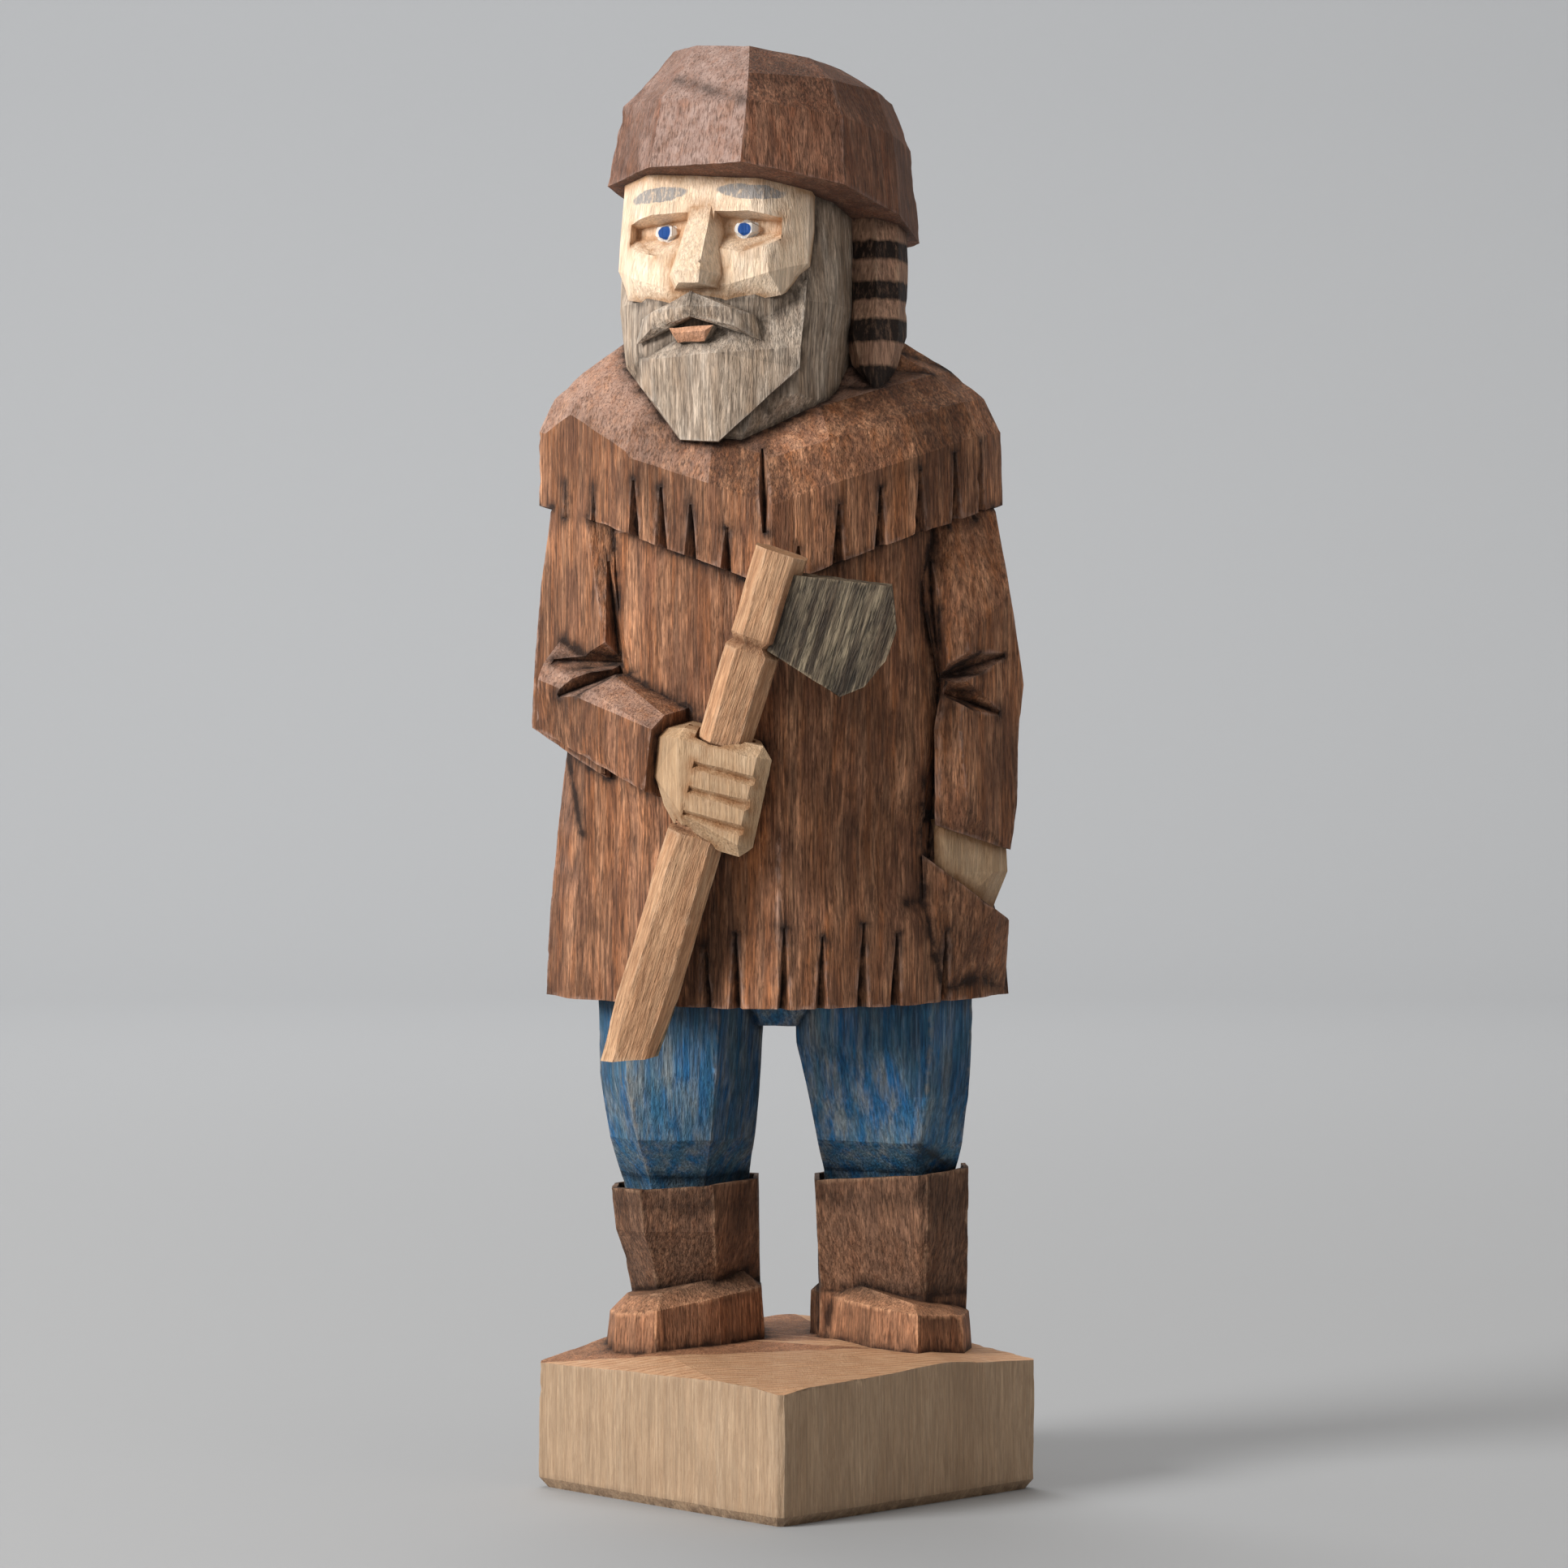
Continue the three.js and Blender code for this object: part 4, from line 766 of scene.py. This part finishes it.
def in_millimetres(tree):
    """The place's X, Y and Z, with a slight brush wobble."""
    place = object_place(tree)
    x, y, z = put(tree, "ShaderNodeSeparateXYZ", {0: place}).outputs
    uneven = work_out(tree, "SUBTRACT", speckle(tree, place, 1.3, 2.0), 0.5)
    wobble = work_out(tree, "MULTIPLY", uneven, BRUSH_WOBBLE)
    x, y, z = (work_out(tree, "MULTIPLY", value, 1000) for value in (x, y, z))
    return x, y, work_out(tree, "ADD", z, wobble)


def in_head(tree):
    """How far across the head from its middle, forward, and high a place is."""
    x, y, z = in_millimetres(tree)
    x = work_out(tree, "SUBTRACT", x, HEAD_PLACE[0])
    y = work_out(tree, "SUBTRACT", y, HEAD_PLACE[1])
    cos, sin = math.cos(HEAD_TURN), math.sin(HEAD_TURN)

    def along(share_x, share_y):
        return work_out(
            tree, "ADD", work_out(tree, "MULTIPLY", x, share_x), work_out(tree, "MULTIPLY", y, share_y)
        )

    return work_out(tree, "ABSOLUTE", along(cos, -sin)), along(-sin, -cos), z


def oval(tree, across, height, middle, size):
    """1 inside an oval on both sides of the head's middle, 0 outside, with a soft rim."""
    u = work_out(tree, "DIVIDE", work_out(tree, "SUBTRACT", across, middle[0]), size[0])
    v = work_out(tree, "DIVIDE", work_out(tree, "SUBTRACT", height, middle[1]), size[1])
    reach = work_out(tree, "ADD", work_out(tree, "MULTIPLY", u, u), work_out(tree, "MULTIPLY", v, v))
    return spread(tree, reach, 1.12, 0.88)


EYE = {"middle": (6.1, 180.5), "white": (1.75, 1.3), "blue": (0.95, 0.95)}
BROW = {"middle": (6.9, 185.7), "size": (4.6, 1.05), "droop": 0.09}
LIP = {"below": (163.4, 164.2), "above": (167.2, 166.6), "forward": (17.6, 18.4)}
FACE_FRONT = (7.0, 9.0)
CLEAN_FACE = (150, 160)


def paint_face(tree, colour):
    """A paler face, lifted partly for a paler wash and partly as painted light for the brighter light at the
    head, with grey washed brows, a rosy lip, and a white dot with a blue one for each eye.
    """
    across, forward, height = in_head(tree)
    front = spread(tree, forward, *FACE_FRONT)
    white = work_out(tree, "MULTIPLY", oval(tree, across, height, EYE["middle"], EYE["white"]), front)
    blue = work_out(tree, "MULTIPLY", oval(tree, across, height, EYE["middle"], EYE["blue"]), front)
    drooped = work_out(tree, "ADD", height, work_out(tree, "MULTIPLY", across, BROW["droop"]))
    brow_middle = (BROW["middle"][0], BROW["middle"][1] + BROW["droop"] * BROW["middle"][0])
    brow = work_out(tree, "MULTIPLY", oval(tree, across, drooped, brow_middle, BROW["size"]), front)
    thin = brushed(tree, 0.3, 0.34, 0.5, 0.25, 1.0)
    lip = work_out(tree, "MULTIPLY", spread(tree, height, *LIP["above"]), spread(tree, height, *LIP["below"]))
    lip = work_out(tree, "MULTIPLY", lip, spread(tree, forward, *LIP["forward"]))
    # Painted light, with a paler wash: the face's skin, above 150 to 160 mm, is lifted toward pale.
    clean = mix_colours(tree, 1.0, colour, rgb(1.7, 1.95, 2.35), "MULTIPLY")
    colour = mix_colours(tree, spread(tree, height, *CLEAN_FACE), colour, clean)
    rosy = mix_colours(tree, 1.0, colour, rgb(0.72, 0.5, 0.42), "MULTIPLY")
    colour = mix_colours(tree, lip, colour, rosy)
    colour = mix_colours(tree, work_out(tree, "MULTIPLY", brow, thin), colour, rgb(0.36, 0.33, 0.31))
    colour = mix_colours(tree, white, colour, rgb(0.75, 0.73, 0.7))
    return mix_colours(tree, blue, colour, rgb(0.012, 0.07, 0.28))


FOOT_TOP = (28.6, 26.8)


def pale_feet(tree, colour):
    """The boots' feet took less stain than their shafts."""
    _, _, height = in_millimetres(tree)
    foot = spread(tree, height, *FOOT_TOP, 0.0, 0.62)
    thin = mix_colours(tree, 1.0, colour, rgb(2.3, 2.0, 1.75), "MULTIPLY")
    return mix_colours(tree, foot, colour, thin)


TAIL_BANDS = [(177.6, 180.4), (171.7, 174.5), (165.5, 168.9), (150.0, 162.0)]


def paint_bands(tree, colour):
    """Dark bands round the tail, brushed a little unevenly."""
    _, _, height = in_millimetres(tree)
    soft = 0.25
    band = 0.0
    for low, high in TAIL_BANDS:
        above = spread(tree, height, low - soft, low + soft)
        below = spread(tree, height, high + soft, high - soft)
        band = work_out(tree, "MAXIMUM", work_out(tree, "MULTIPLY", above, below), band)
    thin = brushed(tree, 0.2, 0.3, 0.5, 0.6, 0.97)
    return mix_colours(tree, work_out(tree, "MULTIPLY", band, thin), colour, rgb(0.014, 0.01, 0.009))


SOILED_FOOT = (2.2, 0.2)


def mark_end_grain(tree, colour):
    """The base's top is end grain, darker and warmer with ring lines, and its lowest two millimetres darken
    in blotches towards the bottom.
    """
    place = object_place(tree)
    slope = tree.nodes.new("ShaderNodeTexCoord").outputs["Normal"]
    upward = put(tree, "ShaderNodeSeparateXYZ", {0: slope}).outputs[2]
    top = spread(tree, upward, 0.6, 0.8)
    flattened = mapped(tree, place, Location=(0.03, -0.11, 0), Scale=(1, 1, 0))
    rings = ring_lines(tree, flattened, 210, 1.4, 3.0, 60)
    knife_path = mapped(tree, place, Rotation=(0, 0, 0.6), Scale=(0.16, 1, 1))
    chatter = speckle(tree, knife_path, 0.5, 3.0, 0.7)
    warm = mix_colours(tree, spread(tree, rings, 0.55, 1.0), rgb(0.6, 0.33, 0.18), rgb(0.4, 0.19, 0.09))
    warm = mix_colours(tree, spread(tree, chatter, 0.45, 0.7), warm, rgb(0.68, 0.44, 0.27))
    colour = mix_colours(tree, work_out(tree, "MULTIPLY", top, 0.85), colour, warm)
    # Darker in blotches towards the bottom of the base.
    _, _, height = in_millimetres(tree)
    blotches = spread(tree, speckle(tree, place, 2.0, 4.0, 0.7), 0.35, 0.6)
    soil = work_out(tree, "MULTIPLY", spread(tree, height, *SOILED_FOOT), blotches)
    return mix_colours(tree, work_out(tree, "MULTIPLY", soil, 0.75), colour, rgb(0.12, 0.075, 0.05))


def build_materials(finish):
    return {
        "base": finished_material(
            "bare_basswood_base", finish, paint=mark_end_grain, bump=0.3,
            main=rgb(0.46, 0.322, 0.208), pale=rgb(0.51, 0.37, 0.25), other=rgb(0.4, 0.27, 0.17),
            deep=rgb(0.27, 0.165, 0.095), rubbed=rgb(0.56, 0.42, 0.3), soiled=rgb(0.17, 0.09, 0.05),
            streaking=0.55, mottling=0.4, clouding=0.2, flecking=0.4, pitting=0.35, ringing=0.22,
            facets=0.06, wear=0.25, dirt=0.4, fuzz=0.0, dullness=0.62, grain=0.34,
        ),
        "boots": finished_material(
            "dark_brown_boot_stain", finish, paint=pale_feet,
            main=rgb(0.165, 0.078, 0.043), pale=rgb(0.3, 0.16, 0.095), other=rgb(0.13, 0.072, 0.047),
            deep=rgb(0.03, 0.014, 0.008), rubbed=rgb(0.44, 0.26, 0.16), soiled=rgb(0.014, 0.007, 0.005),
            streaking=0.8, mottling=0.7, clouding=0.4, flecking=0.7, pitting=0.6, ringing=0.0,
            facets=0.3, wear=0.7, dirt=0.9, fuzz=0.3, dullness=0.66, grain=1,
        ),
        "trousers": finished_material(
            "thin_blue_trouser_wash", finish,
            main=rgb(0.02, 0.125, 0.31), pale=rgb(0.27, 0.29, 0.28), other=rgb(0.05, 0.155, 0.225),
            deep=rgb(0.008, 0.04, 0.085), rubbed=rgb(0.33, 0.29, 0.23), soiled=rgb(0.006, 0.014, 0.026),
            streaking=0.9, mottling=0.65, clouding=0.6, flecking=0.45, pitting=0.4, ringing=0.0,
            facets=0.35, wear=0.45, dirt=0.75, fuzz=0.0, dullness=0.64, grain=0.9,
        ),
        # The coat's toward points at the key light, so its paler facets are painted sheen.
        "coat": finished_material(
            "red_brown_coat_stain", finish,
            main=rgb(0.37, 0.143, 0.058), pale=rgb(0.62, 0.32, 0.18), other=rgb(0.2, 0.09, 0.052),
            deep=rgb(0.045, 0.018, 0.009), rubbed=rgb(0.53, 0.345, 0.27), soiled=rgb(0.018, 0.008, 0.005),
            streaking=0.85, mottling=0.8, clouding=0.5, flecking=0.75, pitting=0.6, ringing=0.0,
            facets=0.36, wear=0.5, dirt=0.95, fuzz=0.75, dullness=0.66, grain=1, sheen=0.04,
            toward=(-0.55, -0.45, 0.7), start=0.74, full=0.92,
        ),
        "skin": finished_material(
            "bare_basswood_skin", finish, paint=paint_face,
            main=rgb(0.54, 0.37, 0.225), pale=rgb(0.6, 0.43, 0.28), other=rgb(0.47, 0.3, 0.17),
            deep=rgb(0.3, 0.165, 0.08), rubbed=rgb(0.62, 0.46, 0.31), soiled=rgb(0.27, 0.12, 0.045),
            streaking=0.8, mottling=0.5, clouding=0.25, flecking=0.35, pitting=0.3, ringing=0.0,
            facets=0.16, wear=0.25, dirt=0.75, fuzz=0.0, dullness=0.6, grain=0.4,
        ),
        "hair": finished_material(
            "grey_beard_wash", finish,
            main=rgb(0.37, 0.28, 0.21), pale=rgb(0.68, 0.56, 0.45), other=rgb(0.36, 0.24, 0.15),
            deep=rgb(0.09, 0.068, 0.052), rubbed=rgb(0.62, 0.55, 0.48), soiled=rgb(0.035, 0.025, 0.018),
            streaking=0.95, mottling=0.5, clouding=0.25, flecking=0.6, pitting=0.5, ringing=0.0,
            facets=0.25, wear=0.4, dirt=0.7, fuzz=0.3, dullness=0.66, grain=0.95,
        ),
        "tail": finished_material(
            "striped_tail_stain", finish, paint=paint_bands,
            main=rgb(0.39, 0.22, 0.145), pale=rgb(0.55, 0.33, 0.215), other=rgb(0.36, 0.22, 0.155),
            deep=rgb(0.08, 0.04, 0.025), rubbed=rgb(0.55, 0.38, 0.26), soiled=rgb(0.02, 0.01, 0.007),
            streaking=0.8, mottling=0.5, clouding=0.2, flecking=0.5, pitting=0.45, ringing=0.0,
            facets=0.35, wear=0.5, dirt=0.55, fuzz=0.2, dullness=0.66, grain=1,
        ),
        # The hat's toward points at the key light, so its paler facets are painted sheen.
        "hat": finished_material(
            "dark_brown_hat_stain", finish,
            main=rgb(0.25, 0.097, 0.05), pale=rgb(0.38, 0.195, 0.12), other=rgb(0.15, 0.07, 0.044),
            deep=rgb(0.055, 0.024, 0.014), rubbed=rgb(0.42, 0.29, 0.245), soiled=rgb(0.014, 0.008, 0.006),
            streaking=0.75, mottling=0.7, clouding=0.4, flecking=0.75, pitting=0.6, ringing=0.0,
            facets=0.25, wear=0.3, dirt=0.6, fuzz=0.95, dullness=0.7, grain=1, sheen=0.04,
            toward=(-0.55, -0.72, 0.42), start=0.84, full=0.93,
        ),
    }


def along_handle(tree):
    """Places turned so that the grain runs along the axe's handle."""
    down = (AXE_BOTTOM - AXE_TOP).normalized()
    turn = down.rotation_difference(Vector((0, 0, -1))).to_euler()
    return mapped(tree, object_place(tree), Rotation=turn)


def build_axe_materials(finish):
    handle = finished_material(
        "pale_axe_handle", finish, along_handle,
        main=rgb(0.56, 0.31, 0.17), pale=rgb(0.66, 0.42, 0.25), other=rgb(0.47, 0.24, 0.125),
        deep=rgb(0.21, 0.09, 0.04), rubbed=rgb(0.68, 0.48, 0.32), soiled=rgb(0.12, 0.045, 0.02),
        streaking=0.8, mottling=0.5, clouding=0.15, flecking=0.5, pitting=0.45, ringing=0.1,
        facets=0.15, wear=0.35, dirt=0.7, fuzz=0.0, dullness=0.6, grain=0.5,
    )
    head = finished_material(
        "grey_axe_head_wash", finish, along_handle,
        main=rgb(0.1, 0.07, 0.047), pale=rgb(0.34, 0.27, 0.18), other=rgb(0.045, 0.034, 0.027),
        deep=rgb(0.01, 0.008, 0.007), rubbed=rgb(0.5, 0.38, 0.25), soiled=rgb(0.02, 0.013, 0.009),
        streaking=1.0, mottling=0.8, clouding=0.2, flecking=0.8, pitting=0.7, ringing=0.0,
        facets=0.2, wear=0.5, dirt=0.5, fuzz=0.0, dullness=0.6, grain=1,
    )
    return [handle, head]


# Floor, light and camera

def plain_material(name, colour, roughness):
    """An even grey paper with the faintest grain."""
    material, tree = start_material(name)
    grain = speckle(tree, object_place(tree), 3.0)
    tint = mix_colours(tree, grain, tuple(c * 0.99 for c in colour[:3]) + (1.0,), colour)
    shader = put(tree, "ShaderNodeBsdfPrincipled", {"Base Color": tint, "Roughness": roughness})
    output = tree.nodes.new("ShaderNodeOutputMaterial")
    tree.links.new(shader.outputs[0], output.inputs["Surface"])
    return material


def build_floor():
    """A round pale floor that rises softly on all sides."""
    flat, bend, rise = 1.5, 0.6, 2.2
    profile = [(0.0, 0.0), (flat * 0.5, 0.0), (flat, 0.0)]
    steps = 12
    for i in range(1, steps + 1):
        angle = math.pi / 2 * i / steps
        profile.append((flat + bend * math.sin(angle), bend * (1 - math.cos(angle))))
    profile.append((flat + bend, rise))
    spokes = 64
    points = [
        (r * math.cos(2 * math.pi * k / spokes), r * math.sin(2 * math.pi * k / spokes), z)
        for r, z in profile for k in range(spokes)
    ]
    faces = [
        (inner + k, inner + (k + 1) % spokes, inner + spokes + (k + 1) % spokes, inner + spokes + k)
        for inner in range(0, (len(profile) - 1) * spokes, spokes) for k in range(spokes)
    ]
    mesh = bpy.data.meshes.new("pale_floor")
    mesh.from_pydata(points, [], faces)
    mesh.polygons.foreach_set("use_smooth", [True] * len(faces))
    mesh.materials.append(plain_material("pale_paper", rgb(0.385, 0.396, 0.41), 0.9))
    floor = bpy.data.objects.new("pale_floor", mesh)
    bpy.context.scene.collection.objects.link(floor)


def add_lamp(name, place, aim, size, power, colour):
    data = bpy.data.lights.new(name, "AREA")
    data.shape = "DISK"
    data.size = size
    data.energy = power
    data.color = colour
    lamp = bpy.data.objects.new(name, data)
    lamp.location = place
    lamp.rotation_euler = (Vector(aim) - Vector(place)).to_track_quat("-Z", "Y").to_euler()
    bpy.context.scene.collection.objects.link(lamp)


def build_light():
    add_lamp("window_side", (-0.95, -0.6, 0.56), (0, 0, 0.1), 0.5, 17.5, (1.0, 0.985, 0.96))
    add_lamp("room_side", (1.15, -0.85, 0.45), (0, 0, 0.1), 1.2, 1.9, (1.0, 0.94, 0.87))
    add_lamp("backdrop_wash", (-0.3, 0.9, 1.7), (-0.2, 2.1, 0.4), 1.0, 25, (1.0, 1.0, 1.0))
    world = bpy.data.worlds.new("pale_room")
    bpy.context.scene.world = world
    world.use_nodes = True
    backdrop = world.node_tree.nodes["Background"]
    backdrop.inputs["Color"].default_value = (0.86, 0.8, 0.735, 1)
    backdrop.inputs["Strength"].default_value = 0.78
    bpy.context.scene.view_settings.view_transform = "Standard"


def build_camera():
    data = bpy.data.cameras.new("camera")
    data.lens = 102.8
    data.sensor_width = 36
    data.clip_start = 0.01
    camera = bpy.data.objects.new("camera", data)
    camera.location = (-0.00035, -0.65, 0.1021)
    camera.rotation_euler = (math.pi / 2, 0, 0)
    bpy.context.scene.collection.objects.link(camera)
    bpy.context.scene.camera = camera


noise.seed_set(KNIFE_SEED)
finish = build_groups()
materials = build_materials(finish)
figure_materials = [materials[name] for name in FINISHES]
carve("carved_figure", "mountain_man", figure_finishes, figure_materials)
carve("whittled_axe", "axe", axe_finishes, build_axe_materials(finish))
build_floor()
build_light()
build_camera()
